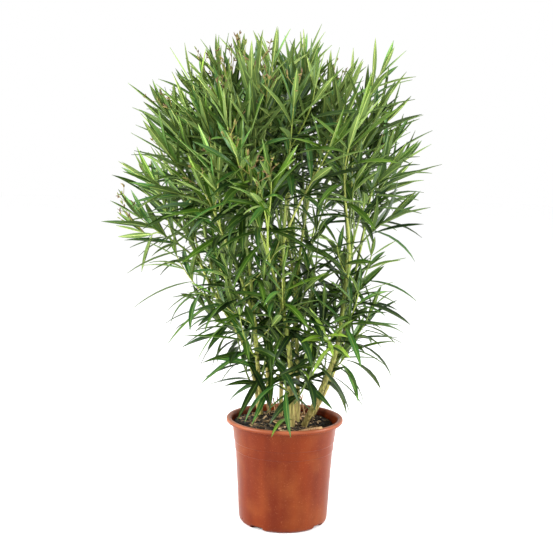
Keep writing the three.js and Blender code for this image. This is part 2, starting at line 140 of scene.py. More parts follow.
def make_piece(name, points, quads, triangles, materials, slots=None, smooth=True):
    """Puts whole arrays into a mesh: points in millimetres (n, 3), quads (q, 4) and triangles
    (t, 3) of point numbers, and one material slot for each face, quads first."""
    mesh = bpy.data.meshes.new(name)
    corners = np.concatenate([quads.ravel(), triangles.ravel()]).astype(np.int32)
    sizes = np.concatenate([np.full(len(quads), 4), np.full(len(triangles), 3)]).astype(np.int32)
    mesh.vertices.add(len(points))
    mesh.vertices.foreach_set("co", (np.asarray(points) * MM).astype(np.float32).ravel())
    mesh.loops.add(len(corners))
    mesh.loops.foreach_set("vertex_index", corners)
    mesh.polygons.add(len(sizes))
    mesh.polygons.foreach_set("loop_start", np.cumsum(sizes, dtype=np.int32) - sizes)
    mesh.polygons.foreach_set("use_smooth", np.full(len(sizes), smooth))
    for material in materials:
        mesh.materials.append(material)
    if slots is not None:
        mesh.polygons.foreach_set("material_index", np.asarray(slots, np.int32))
    mesh.update(calc_edges=True)
    piece = put(name, mesh)
    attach(piece, "root")
    return piece


def rounded(corners, steps=5):
    """A profile through corners (radius, height, rounding): each corner is cut back along both
    its sides by the rounding and bridged by a quadratic curve, (1-t)^2 a + 2t(1-t) c + t^2 b."""
    corners = np.array(corners, float)
    spots = corners[:, :2]
    path = [spots[:1]]
    for k in range(1, len(spots) - 1):
        ends = []
        for other in (k - 1, k + 1):
            side = spots[other] - spots[k]
            reach = min(corners[k, 2], 0.49 * np.hypot(*side))
            ends.append(spots[k] + side / np.hypot(*side) * reach)
        t = np.linspace(0, 1, steps)[:, None]
        path.append((1 - t) ** 2 * ends[0] + 2 * t * (1 - t) * spots[k] + t**2 * ends[1])
    return np.concatenate(path + [spots[-1:]])


def ring_faces(rings, turns):
    """Faces for closed rings of `turns` points each, numbered ring by ring and followed by two
    poles: quads from each ring to the next, and a fan of triangles from each pole to its ring."""
    ring, k = np.meshgrid(np.arange(rings - 1), np.arange(turns), indexing="ij")
    after = (k + 1) % turns
    near, far = ring * turns, (ring + 1) * turns
    quads = np.stack([near + k, near + after, far + after, far + k], axis=-1).reshape(-1, 4)
    k, after, last = k[0], after[0], (rings - 1) * turns
    pole = np.full(turns, rings * turns)
    first_fan = np.stack([pole, after, k], axis=-1)
    last_fan = np.stack([pole + 1, last + k, last + after], axis=-1)
    return quads, np.concatenate([first_fan, last_fan])


def turned(profile, angles):
    """A surface of revolution: a profile (m, 2) of radius and height, from axis to axis, gives
    the points (r cos a, r sin a, z), and its two ends are closed as poles."""
    radius, height = profile[1:-1, 0, None], profile[1:-1, 1, None]
    grid = np.stack([radius * np.cos(angles), radius * np.sin(angles), height + 0 * angles], axis=-1)
    points = np.concatenate([grid.reshape(-1, 3), [[0, 0, profile[0, 1]], [0, 0, profile[-1, 1]]]])
    return points, *ring_faces(len(profile) - 2, len(angles))


def notch_lift(points):
    """How far the drain notches lift the underside: their full height within half a width of a
    notch's middle line and outside its inner end, and nothing elsewhere."""
    turn = np.arctan2(points[:, 1], points[:, 0]) - NOTCH_TURN
    apart = (turn + math.pi / NOTCHES) % (2 * math.pi / NOTCHES) - math.pi / NOTCHES
    radius = np.hypot(points[:, 0], points[:, 1])
    across = np.abs(radius * np.sin(apart))
    side = np.clip((NOTCH_WIDTH / 2 + NOTCH_SLOPE / 2 - across) / NOTCH_SLOPE, 0, 1)
    end = np.clip((radius - NOTCH_INNER_RADIUS) / NOTCH_END_SLOPE, 0, 1)
    return NOTCH_HEIGHT * side * end


def pot_mesh():
    """The outline, as corners of radius, height and rounding from the underside's middle round to
    the floor's, turned through a full circle. Every point of the underside and the floor is
    raised to the notches' height where a notch cuts it."""
    lip_foot = POT_HEIGHT - LIP_THICKNESS
    bead, below_bead = COLLAR_FOOT - 2.0, COLLAR_FOOT - 3.2
    outer = [
        (0, 0, 0), (60, 0, 4), (61.5, 1, 3), (66, 1, 3), (67.5, 0, 3), (FOOT_RADIUS, 0, 1.5),
        (HEEL_RADIUS - 1.5, 3.5, 4), (HEEL_RADIUS, HEEL_HEIGHT, 5),
        (below_bead, BEAD_HEIGHT, 0.8), (bead, BEAD_HEIGHT + 1, 0.8),
        (COLLAR_FOOT - 1.2, COLLAR_EDGE - 1, 0.8), (COLLAR_FOOT, COLLAR_EDGE, 1.0),
        (COLLAR_TOP, lip_foot - 1, 1.5), (RIM_RADIUS - 1, lip_foot, 1.5),
        (RIM_RADIUS, lip_foot + 2, 2), (RIM_RADIUS, POT_HEIGHT, 5),
    ]
    inner = [
        (MOUTH_RADIUS + 1, POT_HEIGHT, 4), (MOUTH_RADIUS - 1, POT_HEIGHT - 4, 3),
        (COLLAR_FOOT - POT_WALL, COLLAR_EDGE, 3), (below_bead - POT_WALL, BEAD_HEIGHT, 3),
        (HEEL_RADIUS - POT_WALL, HEEL_HEIGHT, 4), (HEEL_RADIUS - POT_WALL - 5, FLOOR, 3), (0, FLOOR, 0),
    ]
    outline = rounded(outer + inner)
    half = NOTCH_WIDTH / 2 / HEEL_RADIUS
    edges = [NOTCH_TURN + k * 2 * math.pi / NOTCHES + s * (half + e)
             for k in range(NOTCHES) for s in (-1, 1) for e in NOTCH_COLUMNS]
    angles = np.concatenate([full_turn(POT_TURNS), np.array(edges) % (2 * math.pi)])
    angles = np.unique(np.round(angles, 4))
    points, quads, triangles = turned(outline, angles)
    lift = notch_lift(points)
    outside = np.arange(len(points)) < OUTER_SHARE * (len(outline) - 2) * len(angles)
    raised = np.maximum(points[:, 2], lift + np.where(outside, 0, POT_WALL))
    points[:, 2] = np.where(lift > 0, raised, points[:, 2])
    return points, quads, triangles


def polypropylene():
    """Polypropylene (IOR 1.49), moulded with a satin surface. The eye sees one warm red-brown with broad
    soft highlights, faintly streaked down the wall where the melt flowed, and dulled by dust. The top of the
    lip is painted paler in patches: partly scuffs, and partly a painted highlight where the lip catches the
    light. The dust lies in specks of 2.4 mm: coarser than life, so that they show."""
    material = new_material("moulded_terracotta_polypropylene", "#652407", 0.36, ior=1.49, sheen=0.12)
    place = add_node(material, "TexCoord", out="Object")
    tall = add_node(material, "Mapping", {"Vector": place, "Scale": (1, 1, 0.06)})
    streak = add_node(material, "TexNoise", {"Vector": tall, "Scale": grain(38), "Detail": 2.0})
    cloud = add_node(material, "TexNoise", {"Vector": place, "Scale": grain(62), "Detail": 3.0})
    speck = add_node(material, "TexNoise", {"Vector": place, "Scale": grain(2.4), "Detail": 2.0})
    height = add_node(material, "SeparateXYZ", {0: place}, out=2)
    # Scuffs and painted highlight: the top of the lip is paler in cloudy patches.
    lip = add_node(material, "MapRange", {0: height, 1: LIP_WEAR_AND_HIGHLIGHT[0], 2: LIP_WEAR_AND_HIGHLIGHT[1]})
    lip_scuffs_and_highlight = add_node(material, "Math", {0: lip, 1: cloud}, operation="MULTIPLY")
    streaks = add_node(material, "MapRange", {0: streak, 1: 0.35, 2: 0.7})
    clouds = add_node(material, "MapRange", {0: cloud, 1: 0.45, 2: 0.75, 4: 0.45})
    specks = add_node(material, "MapRange", {0: speck, 1: 0.62, 2: 0.72, 4: 0.16})
    skin = linear("#551a02")
    layers = (streaks, "#682605"), (clouds, "#80441a"), (specks, "#ad7650"), (lip_scuffs_and_highlight, "#a5674a")
    for share, colour in layers:
        skin = add_node(material, "Mix", {0: share, 6: skin, 7: linear(colour)}, out=2, data_type="RGBA")
    rough = add_node(material, "MapRange", {0: cloud, 1: 0.3, 2: 0.7, 3: 0.27, 4: 0.38})
    bump = add_node(material, "Bump", {"Strength": 0.06, "Distance": 0.0004, "Height": speck})
    link_shader(material, Base_Color=skin, Roughness=rough, Normal=bump)
    return material


pot = make_piece("nursery_pot", *pot_mesh(), [polypropylene()])
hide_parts("pot")

# ---------------------------------------------------------------------------------- the compost
# Moist bark compost that fills the pot to a finger's width below the lip: a dark crumbly bed,
# heaped up round the stems on one side, and covered with loose chips of pine bark.

COMPOST_LOW, COMPOST_TOP = (corner[2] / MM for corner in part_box("compost"))
BED_RADIUS = COLLAR_FOOT + 1.0
BED_RINGS, BED_TURNS = 64, 160
MOUNDS = [dict(centre=(-58, -12), reach=62, height=10), dict(centre=(84, -16), reach=38, height=-23)]
CHIP_CORNERS = 7
CHIP_COUNT, SPLINTER_COUNT = 1000, 330
CHIP_SIZE = dict(length=(3.5, 20), typical=2.15, scatter=0.42, slimness=(0.3, 0.6), tilt=0.34)
SPLINTER_SIZE = dict(length=(12, 34), width=(1.8, 4.2), tilt=0.14)
CHIP_THICKNESS = (1.0, 2.4)
CHIP_REST = (-0.6, 2.6)  # how far a chip's middle lies above the bed
CHIP_COLOURS = ["#0b0703", "#181107", "#2e2312", "#524024", "#8c724a", "#c4a57c"]
CHIP_SHARES = [0.34, 0.29, 0.18, 0.11, 0.06, 0.02]
chips_rng = np.random.default_rng(71)


def bed_height(x, y):
    """Height of the bed: the level top, plus each mound's height times exp(-distance^2 / reach^2),
    a low heap on the left and a hollow at the right rim, plus waves of about 9 mm and 4 mm long,
    which fade out at the wall."""
    mounds = sum(m["height"] * np.exp(-((x - m["centre"][0]) ** 2 + (y - m["centre"][1]) ** 2)
                                      / m["reach"] ** 2) for m in MOUNDS)
    waves = 1.1 * np.sin(x / 5.3 + 1.7 * np.sin(y / 7)) * np.sin(y / 4.9 + x / 11)
    crumbs = 0.5 * np.sin(x / 1.9 + y / 3.1) * np.sin(y / 2.1 - x / 2.7)
    wall = np.clip((BED_RADIUS - np.hypot(x, y)) / 9, 0, 1)
    return COMPOST_TOP + (waves + crumbs) * wall - 1.5 * (1 - wall) + mounds


def bed_mesh():
    """A disc turned from the bottom's middle out to the wall, up it and in to the top's middle,
    whose top rings are then lifted to the height of the bed."""
    side = [(0, COMPOST_LOW), (HEEL_RADIUS - 9, COMPOST_LOW),
            (HEEL_RADIUS - POT_WALL - 0.6, HEEL_HEIGHT + 2),
            (COLLAR_FOOT - 5.8, BEAD_HEIGHT), (COLLAR_FOOT - 2.6, COLLAR_EDGE)]
    top = [(radius, COMPOST_TOP) for radius in np.linspace(BED_RADIUS, 0, BED_RINGS)]
    points, quads, triangles = turned(np.array(side + top), full_turn(BED_TURNS))
    on_top = points[:, 2] > COMPOST_TOP - 1
    points[on_top, 2] = bed_height(points[on_top, 0], points[on_top, 1])
    return points, quads, triangles


def turning(axis, angle):
    """Rotation matrices (n, 3, 3) about unit axes by angles, by Rodrigues' formula:
    cos a I + sin a [k]x + (1 - cos a) k k^T."""
    x, y, z = axis.T
    zero = np.zeros_like(x)
    cross = np.stack([zero, -z, y, z, zero, -x, -y, x, zero], axis=-1).reshape(-1, 3, 3)
    c, s = np.cos(angle)[:, None, None], np.sin(angle)[:, None, None]
    return c * np.eye(3) + s * cross + (1 - c) * axis[:, :, None] * axis[:, None, :]


def chip_mesh(centres, lengths, widths, thicks, spins, tilts):
    """Flakes with an uneven many-cornered outline, r(a) = 1 + a seeded share, a flat underside
    and a top that rises to a low middle, turned by their spin and tilted."""
    count = len(centres)
    angle = full_turn(CHIP_CORNERS)
    ragged = 1 + 0.22 * chips_rng.standard_normal((count, CHIP_CORNERS)).clip(-1.5, 1.5)
    outline = np.stack([ragged * np.cos(angle) * lengths[:, None] / 2,
                        ragged * np.sin(angle) * widths[:, None] / 2, np.zeros_like(ragged)], axis=-1)
    up = np.array([0, 0, 1.0]) * thicks[:, None, None] / 2
    middle = np.zeros((count, 1, 3))
    local = np.concatenate([outline - up, outline * 0.86 + up, middle - up, middle + 1.5 * up], axis=1)
    spin = turning(np.tile([0, 0, 1.0], (count, 1)), spins)
    heading = chips_rng.uniform(0, 2 * math.pi, count)
    lean = turning(np.stack([np.cos(heading), np.sin(heading), 0 * heading], axis=-1), tilts)
    points = np.einsum("nij,njk,nmk->nmi", lean, spin, local) + centres[:, None]
    quads, triangles = ring_faces(2, CHIP_CORNERS)
    start = np.arange(count)[:, None, None] * points.shape[1]
    return points.reshape(-1, 3), (quads + start).reshape(-1, 4), (triangles + start).reshape(-1, 3)


def compost_material():
    """Peat and fine bark, moist: dark brown, matt and crumbly, with grains of 3 to 5 mm. It shows
    as a dull dark ground between the paler chips."""
    material = new_material("bark_compost", "#2a1e10", 0.95)
    place = add_node(material, "TexCoord", out="Object")
    crumb = add_node(material, "TexNoise", {"Vector": place, "Scale": grain(3.3), "Detail": 6.0})
    lump = add_node(material, "TexVoronoi", {"Vector": place, "Scale": grain(5.3)})
    share = add_node(material, "MapRange", {0: crumb, 1: 0.4, 2: 0.7})
    brown = {0: share, 6: linear("#0c0803"), 7: linear("#2c2011")}
    mixed = add_node(material, "Mix", brown, out=2, data_type="RGBA")
    bump = add_node(material, "Bump", {"Strength": 0.8, "Distance": 0.0015, "Height": lump})
    link_shader(material, Base_Color=mixed, Normal=bump)
    return material


def lay_chips():
    """Flakes, and after them long splinters, strewn over the bed: a place is the bed's radius
    times the square root of a seeded number, so that they lie evenly, and a flake's length is
    log-normal. Dry bark is matt, from near black to straw, and its facets catch the light."""
    count = CHIP_COUNT + SPLINTER_COUNT
    long = np.arange(count) >= CHIP_COUNT
    lengths = np.exp(chips_rng.normal(CHIP_SIZE["typical"], CHIP_SIZE["scatter"], count))
    lengths = lengths.clip(*CHIP_SIZE["length"])
    lengths = np.where(long, chips_rng.uniform(*SPLINTER_SIZE["length"], count), lengths)
    widths = lengths * chips_rng.uniform(*CHIP_SIZE["slimness"], count)
    widths = np.where(long, chips_rng.uniform(*SPLINTER_SIZE["width"], count), widths)
    far = (BED_RADIUS - 3 - lengths / 2) * np.sqrt(chips_rng.uniform(0, 1, count))
    where = chips_rng.uniform(0, 2 * math.pi, count)
    x, y = far * np.cos(where), far * np.sin(where)
    thicks = chips_rng.uniform(*CHIP_THICKNESS, count)
    centres = np.stack([x, y, bed_height(x, y) + chips_rng.uniform(*CHIP_REST, count) + long], axis=-1)
    spins = chips_rng.uniform(0, 2 * math.pi, count)
    tilts = chips_rng.normal(0, 1, count) * np.where(long, SPLINTER_SIZE["tilt"], CHIP_SIZE["tilt"])
    mesh = chip_mesh(centres, lengths, widths, thicks, spins, tilts)
    tone = chips_rng.choice(len(CHIP_COLOURS), count, p=CHIP_SHARES)
    tone = np.where(long, np.minimum(tone + 2, len(CHIP_COLOURS) - 1), tone)
    hollow_shade = np.clip((COMPOST_TOP - centres[:, 2]) / 5, 0, 3).astype(int)  # painted shade: chips that lie below the bed's level, in the hollow, are dealt darker tones
    tone = np.maximum(tone - hollow_shade, 0)
    materials = [new_material(f"pine_bark_chip_{k}", c, 0.85) for k, c in enumerate(CHIP_COLOURS)]
    slots = np.concatenate([np.repeat(tone, CHIP_CORNERS), np.repeat(tone, 2 * CHIP_CORNERS)])
    return make_piece("bark_chips", *mesh, materials, slots, smooth=False)


bed = make_piece("compost_bed", *bed_mesh(), [compost_material()])
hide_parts("compost")
chips = lay_chips()

# ------------------------------------------------------------------------ the stems and boughs
# Nine slender stems from one clump, flared where they leave the compost. Each forks into two
# boughs. The bark is smooth and thin, tan and grey low down and green above, with a faint ring
# of leaf scars at each old node.

# The growing rule: the stems' table, the dome that the shoots reach, and the same seeded numbers
# as the frame grew by. Millimetres and degrees.


def table(names, *rows):
    """Rows of values, each as a dictionary by the given names."""
    return [dict(zip(names.split(), row)) for row in rows]


STEMS = table(
    "name foot heading reach height lean radius",
    ("left", (-52, 48), 176, 125, 430, (6, 38), 5.6),
    ("left_front", (-50, 26), 229, 96, 425, (2, 16), 5),
    ("front", (14, -34), 266, 76, 440, (-2, 22), 6.8),
    ("right_front", (40, -14), 334, 122, 445, (26, 2), 6.8),
    ("right_back", (56, 56), 26, 140, 405, (30, 8), 6),
    ("back", (8, 84), 77, 112, 430, (3, 18), 5),
    ("left_back", (-32, 78), 127, 106, 440, (6, 22), 4.6),
    ("middle_front", (27, 12), 300, 34, 480, (0, 8), 5),
    ("middle_back", (-8, 46), 110, 46, 490, (0, 6), 4.6),
)
LOW_DIP = dict(left=9)  # how many degrees lower on the dome this stem's low bough ends
INNER_REACH = 60  # a stem that forks nearer the middle than this feeds the crown's middle
CROWN = dict(centre=(-26, 0, 560), spread=270, rise=344, out_power=0.8, up_power=0.6)
OUTER_BOUGHS = table("name polar turn lean", ("low", 73, -12, 44), ("high", 46, 12, 26))
INNER_BOUGHS = table("name polar turn lean", ("front", 17, -50, 9), ("back", 17, 50, 9))
SIDE_SHOOTS = table("turn polar start", (-15, -13, 0.07), (14, 10, 0.14))
SIDE_SCALE = (0.95, 1.03)  # how far out towards the dome a side shoot reaches
SIDE_LEAN = dict(share=0.7, least=4, most=72)  # how its lean follows its polar angle
LEAST_SINE = 0.45  # near the top a shoot turns no further round than at this sine
FORK_AT = 0.975  # the share of a stem's length at which its boughs start
BOUGH_TURN, SIDE_TURN = 0.9, 1.2  # how strongly a bough and a side shoot turn at once to their tips
BOUGH_SHARE = 0.27  # the share of the way from fork to tip that is bare bough
WANDER = 4  # seeded scatter of each tip on the dome
PULL = 0.36  # how far each end's direction carries into a curve
LOW_SHOOT = dict(start=(0.15, 0.31), inner_start=(0.55, 0.71), turn=62, length=235, lean=(36, 2))
LOW_FORK = dict(start=0.34, turn=60, lean=(44, 8), share=0.74)
SEEDS = dict(crown=300, low=600, per_stem=10)
STEM_TIP_RADIUS = 4.2
FLARE_RADIUS, FLARE_HEIGHT = 1.2, 14  # a stem's foot is thicker by this, which fades upwards
ROOT_DEPTH = 16  # how far a stem goes down into the compost
BOUGH_RADIUS, BOUGH_TIP_RADIUS = 3.4, 2.7
STEM_SIDES, BOUGH_SIDES, DEAD_SIDES = 20, 16, 12
BARK_SEEDS = dict(stem=40, bough=60, dead=90)
NODE_GAP = (26, 34)  # the least and most distance between a limb's old nodes
NODE_RING = 1.5  # half the height of the ring of leaf scars at each
UPPER_STEM = (0.42, 0.97)  # the stretch of a stem that bears spurs
FULL_STEMS = ("left", "left_front", "left_back")  # their boughs bear twice as many spurs


def random_from(seed):
    """Numbers from 0 to 1: a 32-bit counter, stirred by two shifts and products a draw."""
    state, mask = seed, 0xFFFFFFFF

    def draw():
        nonlocal state
        state = (state + 0x6D2B79F5) & mask
        t = ((state ^ (state >> 15)) * (state | 1)) & mask
        t ^= (t + (((t ^ (t >> 7)) * (t | 61)) & mask)) & mask
        return ((t ^ (t >> 14)) & mask) / 4294967296

    return draw


def is_inner(stem):
    """True for the two stems inside the clump."""
    return stem["reach"] < INNER_REACH


def unit(vector):
    """A vector, or each row of an array of them, divided by its length."""
    vector = np.asarray(vector, float)
    return vector / np.linalg.norm(vector, axis=-1, keepdims=True)


def leaning(lean, bearing):
    """The unit vector that leans from the vertical towards a bearing, both in degrees."""
    lean, bearing = math.radians(lean), math.radians(bearing)
    return np.array([math.sin(lean) * math.cos(bearing), math.sin(lean) * math.sin(bearing), math.cos(lean)])


def on_crown(bearing, polar, scale=1.0):
    """A place on the dome: out by spread sin(polar)^out_power, up by rise cos(polar)^up_power."""
    up = math.cos(math.radians(polar))
    out = CROWN["spread"] * scale * math.sin(math.radians(polar)) ** CROWN["out_power"]
    rise = CROWN["rise"] * scale * math.copysign(abs(up) ** CROWN["up_power"], up)
    a = math.radians(bearing)
    return np.array(CROWN["centre"]) + [out * math.cos(a), out * math.sin(a), rise]


def between(points, marks, spots):
    """Points that have a mark each, read at the given spots between the marks."""
    return np.stack([np.interp(spots, marks, points[:, k]) for k in range(3)], axis=-1)


def evenly(points, count=161):
    """The same path with `count` points, spaced evenly along it."""
    along = np.concatenate([[0], np.cumsum(np.linalg.norm(np.diff(points, axis=0), axis=1))])
    return between(points, along, np.linspace(0, along[-1], count))


def sweep(start, start_aim, end, end_aim):
    """The cubic curve that leaves `start` along one aim and reaches `end` along the other, each
    pulling for a share of the way, as evenly spaced points."""
    pull = PULL * np.linalg.norm(end - start)
    t = np.linspace(0, 1, 401)[:, None]
    a, b, c, d = start, start + start_aim * pull, end - end_aim * pull, end
    return evenly((1 - t) ** 3 * a + 3 * t * (1 - t) ** 2 * b + 3 * t**2 * (1 - t) * c + t**3 * d)


def length_of(path):
    """The summed distance between a path's points."""
    return float(np.linalg.norm(np.diff(path, axis=0), axis=1).sum())


def at(path, share):
    """The place at a share of a path's length, and the unit direction there."""
    marks = np.linspace(0, 1, len(path))
    aims = unit(np.gradient(path, axis=0))
    return between(path, marks, share), unit(between(aims, marks, share))


def stretch(path, start, end):
    """Part of a path, from one share of its length to another, as evenly spaced points."""
    return at(path, np.linspace(start, end, len(path)))[0]


def stem_path(stem):
    """From the foot on the compost to the fork, on one side of the crown."""
    a = math.radians(stem["heading"])
    foot = np.array([*stem["foot"], COMPOST_TOP + 0.3])
    fork = np.array([stem["reach"] * math.cos(a), stem["reach"] * math.sin(a), stem["height"]])
    bearing = math.degrees(math.atan2(fork[1] - foot[1], fork[0] - foot[0]))
    return sweep(foot, leaning(stem["lean"][0], bearing), fork, leaning(stem["lean"][1], bearing))


def crown_paths(stem, trunk, bough, seed):
    """A bough and the shoots that go on from it: the leader, and a side shoot on either hand.
    Each shoot ends at a seeded place on the dome."""
    random = random_from(seed)
    scatter = lambda: (random() * 2 - 1) * WANDER
    bearing = stem["heading"] + bough["turn"] + scatter()
    dip = LOW_DIP.get(stem["name"], 0) if bough["name"] == "low" else 0
    polar = bough["polar"] + dip + scatter()
    tip = on_crown(bearing, polar)
    start = at(trunk, FORK_AT)[0]
    start_aim = unit(at(trunk, 1.0)[1] + BOUGH_TURN * unit(tip - start))
    whole = sweep(start, start_aim, tip, leaning(bough["lean"], bearing))
    shoots = [(stretch(whole, BOUGH_SHARE, 1), bearing, polar)]
    sine = max(LEAST_SINE, math.sin(math.radians(polar)))
    for side in SIDE_SHOOTS:
        side_bearing = bearing + (side["turn"] + scatter()) / sine
        side_polar = polar + side["polar"] + scatter()
        scale = SIDE_SCALE[0] + (SIDE_SCALE[1] - SIDE_SCALE[0]) * random()
        end = on_crown(side_bearing, side_polar, scale)
        origin, tangent = at(shoots[0][0], side["start"])
        aim = unit(tangent + SIDE_TURN * unit(end - origin))
        lean = bough["lean"] + SIDE_LEAN["share"] * side["polar"]
        lean = min(SIDE_LEAN["most"], max(SIDE_LEAN["least"], lean))
        shoots.append((sweep(origin, aim, end, leaning(lean, side_bearing)), side_bearing, side_polar))
    return stretch(whole, 0, BOUGH_SHARE), shoots


def rising_path(start, bearing, lean, length):
    """From a place towards a bearing, its lean from the vertical easing on the way."""
    start_aim, end_aim = leaning(lean[0], bearing), leaning(lean[1], bearing)
    return sweep(start, start_aim, start + length * unit(start_aim + end_aim), end_aim)


def low_paths(stem, trunk, index):
    """A stem's low shoots: one from its side and, outside the clump, one that forks from it."""
    random = random_from(SEEDS["low"] + index)
    low, high = LOW_SHOOT["inner_start"] if is_inner(stem) else LOW_SHOOT["start"]
    start = at(trunk, low + (high - low) * random())[0]
    bearing = stem["heading"] + (0 if is_inner(stem) else LOW_SHOOT["turn"]) * (0.6 + 0.4 * random())
    length = LOW_SHOOT["length"] * (0.85 + 0.3 * random())
    shoot = rising_path(start, bearing, LOW_SHOOT["lean"], length)
    if is_inner(stem):
        return [shoot]
    start, bearing = at(shoot, LOW_FORK["start"])[0], bearing + LOW_FORK["turn"]
    return [shoot, rising_path(start, bearing, LOW_FORK["lean"], length * LOW_FORK["share"])]


def tube(path, radius, sides):
    """A round tube: at each point of the path a ring c + r (cos a u + sin a v), where u and v
    are square to the path and turn with it as little as they can. Its ends are closed. The
    radius is given for each ring, or for each point of each ring."""
    aims = unit(np.gradient(path, axis=0))
    pick = np.eye(3)[np.argmin(np.abs(aims.mean(axis=0)))]
    u = unit(pick - aims * (aims @ pick)[:, None])[:, None]
    v = np.cross(aims, u[:, 0])[:, None]
    a = full_turn(sides)[:, None]
    ring = path[:, None] + np.reshape(radius, (len(path), -1, 1)) * (np.cos(a) * u + np.sin(a) * v)
    points = np.concatenate([ring.reshape(-1, 3), path[:1], path[-1:]])
    return points, *ring_faces(len(path), sides)


def join(meshes):
    """Several (points, quads, triangles) as one, with each one's numbers moved up, and for each
    face the number of the mesh that it came from."""
    starts = np.cumsum([0] + [len(points) for points, _, _ in meshes[:-1]])
    quads, triangles = (np.concatenate([m[k] + s for m, s in zip(meshes, starts)]) for k in (1, 2))
    source = [np.repeat(np.arange(len(meshes)), [len(m[k]) for m in meshes]) for k in (1, 2)]
    return np.concatenate([m[0] for m in meshes]), quads, triangles, np.concatenate(source)


def bark_tube(path, radius, sides, seed):
    """A limb's tube with its bark's relief: swollen by a tenth at each old node, where a ring of
    three leaf scars stands out, and fluted by two slow seeded waves between them."""
    rng = np.random.default_rng(seed)
    length = length_of(path)
    count = max(24, int(length / 1.6))
    share = np.linspace(0, 1, count)
    along = share[:, None] * length
    a = full_turn(sides)
    gap = rng.uniform(*NODE_GAP)
    phase = rng.uniform(0, gap)
    from_node = (along + phase) % gap - gap / 2
    number = np.floor((along + phase) / gap)
    ring = np.exp(-((from_node / NODE_RING) ** 2))
    scars = 0.5 + 0.5 * np.cos(3 * a + number * math.pi)
    flutes = 0.03 * np.sin(2 * a + along / 31 + phase) + 0.02 * np.sin(5 * a - along / 17)
    relief = 0.95 + 0.04 * ring + 0.11 * ring * scars**2 + flutes
    radius = np.interp(share, np.linspace(0, 1, len(radius)), radius)[:, None] * relief
    return tube(evenly(path, count), radius, sides)


def thin_bark(name, low_tones, high_tones):
    """Thin smooth bark (IOR 1.5) with hardly any wax, so duller than the leaves. The eye sees
    fine streaks along the stem between a dark and a light tone. One pair of tones at the foot
    gives way to the other higher up, patch by patch over 26 mm. Corky lenticels dot it about
    4 mm apart, over a millimetre across: a little coarser than life, so that they show."""
    material = new_material(name, low_tones[0], 0.62, sheen=0.3)
    place = add_node(material, "TexCoord", out="Object")
    tall = add_node(material, "Mapping", {"Vector": place, "Scale": (1, 1, 0.14)})
    streak = add_node(material, "TexNoise", {"Vector": tall, "Scale": grain(3.1), "Detail": 4.0})
    patch = add_node(material, "TexNoise", {"Vector": place, "Scale": grain(26), "Detail": 3.0})
    height = add_node(material, "SeparateXYZ", {0: place}, out=2)
    risen = add_node(material, "MapRange", {0: height, 1: 0.2, 2: 0.46})
    uneven = add_node(material, "Math", {0: risen, 1: patch}, operation="ADD")
    green = add_node(material, "MapRange", {0: uneven, 1: 0.55, 2: 1.35})
    light = add_node(material, "MapRange", {0: streak, 1: 0.36, 2: 0.64})
    cells = add_node(material, "TexVoronoi", {"Vector": place, "Scale": grain(4.2)})
    lenticels = add_node(material, "MapRange", {0: cells, 1: 0.16, 2: 0.08, 4: 0.7})
    low, high = (
        add_node(material, "Mix", {0: light, 6: linear(dark), 7: linear(pale)}, out=2, data_type="RGBA")
        for dark, pale in (low_tones, high_tones))
    skin = add_node(material, "Mix", {0: green, 6: low, 7: high}, out=2, data_type="RGBA")
    cork = {0: lenticels, 6: skin, 7: linear("#b3a274")}
    corky = add_node(material, "Mix", cork, out=2, data_type="RGBA")
    bump = add_node(material, "Bump", {"Strength": 0.35, "Distance": 0.0006, "Height": streak})
    link_shader(material, Base_Color=corky, Normal=bump)
    return material


bark = thin_bark("green_oleander_bark", ("#5a4d20", "#a89a5a"), ("#4c5620", "#8a963c"))
boughs = []  # every limb that bears spurs, with the stem that it belongs to
shoots = []  # every long leafy shoot: its stem, path, bearing and place on the dome, and its lean
trunks = [stem_path(stem) for stem in STEMS]
for index, (stem, trunk) in enumerate(zip(STEMS, trunks)):
    share = np.linspace(0, 1, len(trunk))
    girth = stem["radius"] + (STEM_TIP_RADIUS - stem["radius"]) * share
    girth = girth + FLARE_RADIUS * np.exp(-share * length_of(trunk) / FLARE_HEIGHT)
    rooted = np.concatenate([trunk[:1] - ROOT_DEPTH * at(trunk, 0.0)[1], trunk])
    girth = np.concatenate([girth[:1], girth])
    limbs = [bark_tube(rooted, girth, STEM_SIDES, BARK_SEEDS["stem"] + index)]
    names = [f"stem_{stem['name']}"]
    boughs.append(dict(stem=index, path=stretch(trunk, *UPPER_STEM), spurs=2))
    for k, bough in enumerate(INNER_BOUGHS if is_inner(stem) else OUTER_BOUGHS):
        path, crown = crown_paths(stem, trunk, bough, SEEDS["crown"] + index * SEEDS["per_stem"] + k)
        girth = np.linspace(BOUGH_RADIUS, BOUGH_TIP_RADIUS, len(trunk))
        limbs.append(bark_tube(path, girth, BOUGH_SIDES, BARK_SEEDS["bough"] + index * 2 + k))
        names.append(f"bough_{stem['name']}_{bough['name']}")
        boughs.append(dict(stem=index, path=path, spurs=1 + (stem["name"] in FULL_STEMS)))
        for path, bearing, polar in crown:
            place = dict(bearing=bearing, polar=polar, lean=bough["lean"])
            shoots.append(dict(stem=index, kind="shoot", path=path, **place))
    for path in low_paths(stem, trunk, index):
        shoots.append(dict(stem=index, kind="low", path=path))
    stem_piece = make_piece(f"bark_{stem['name']}", *join(limbs)[:3], [bark])
    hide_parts(*names)

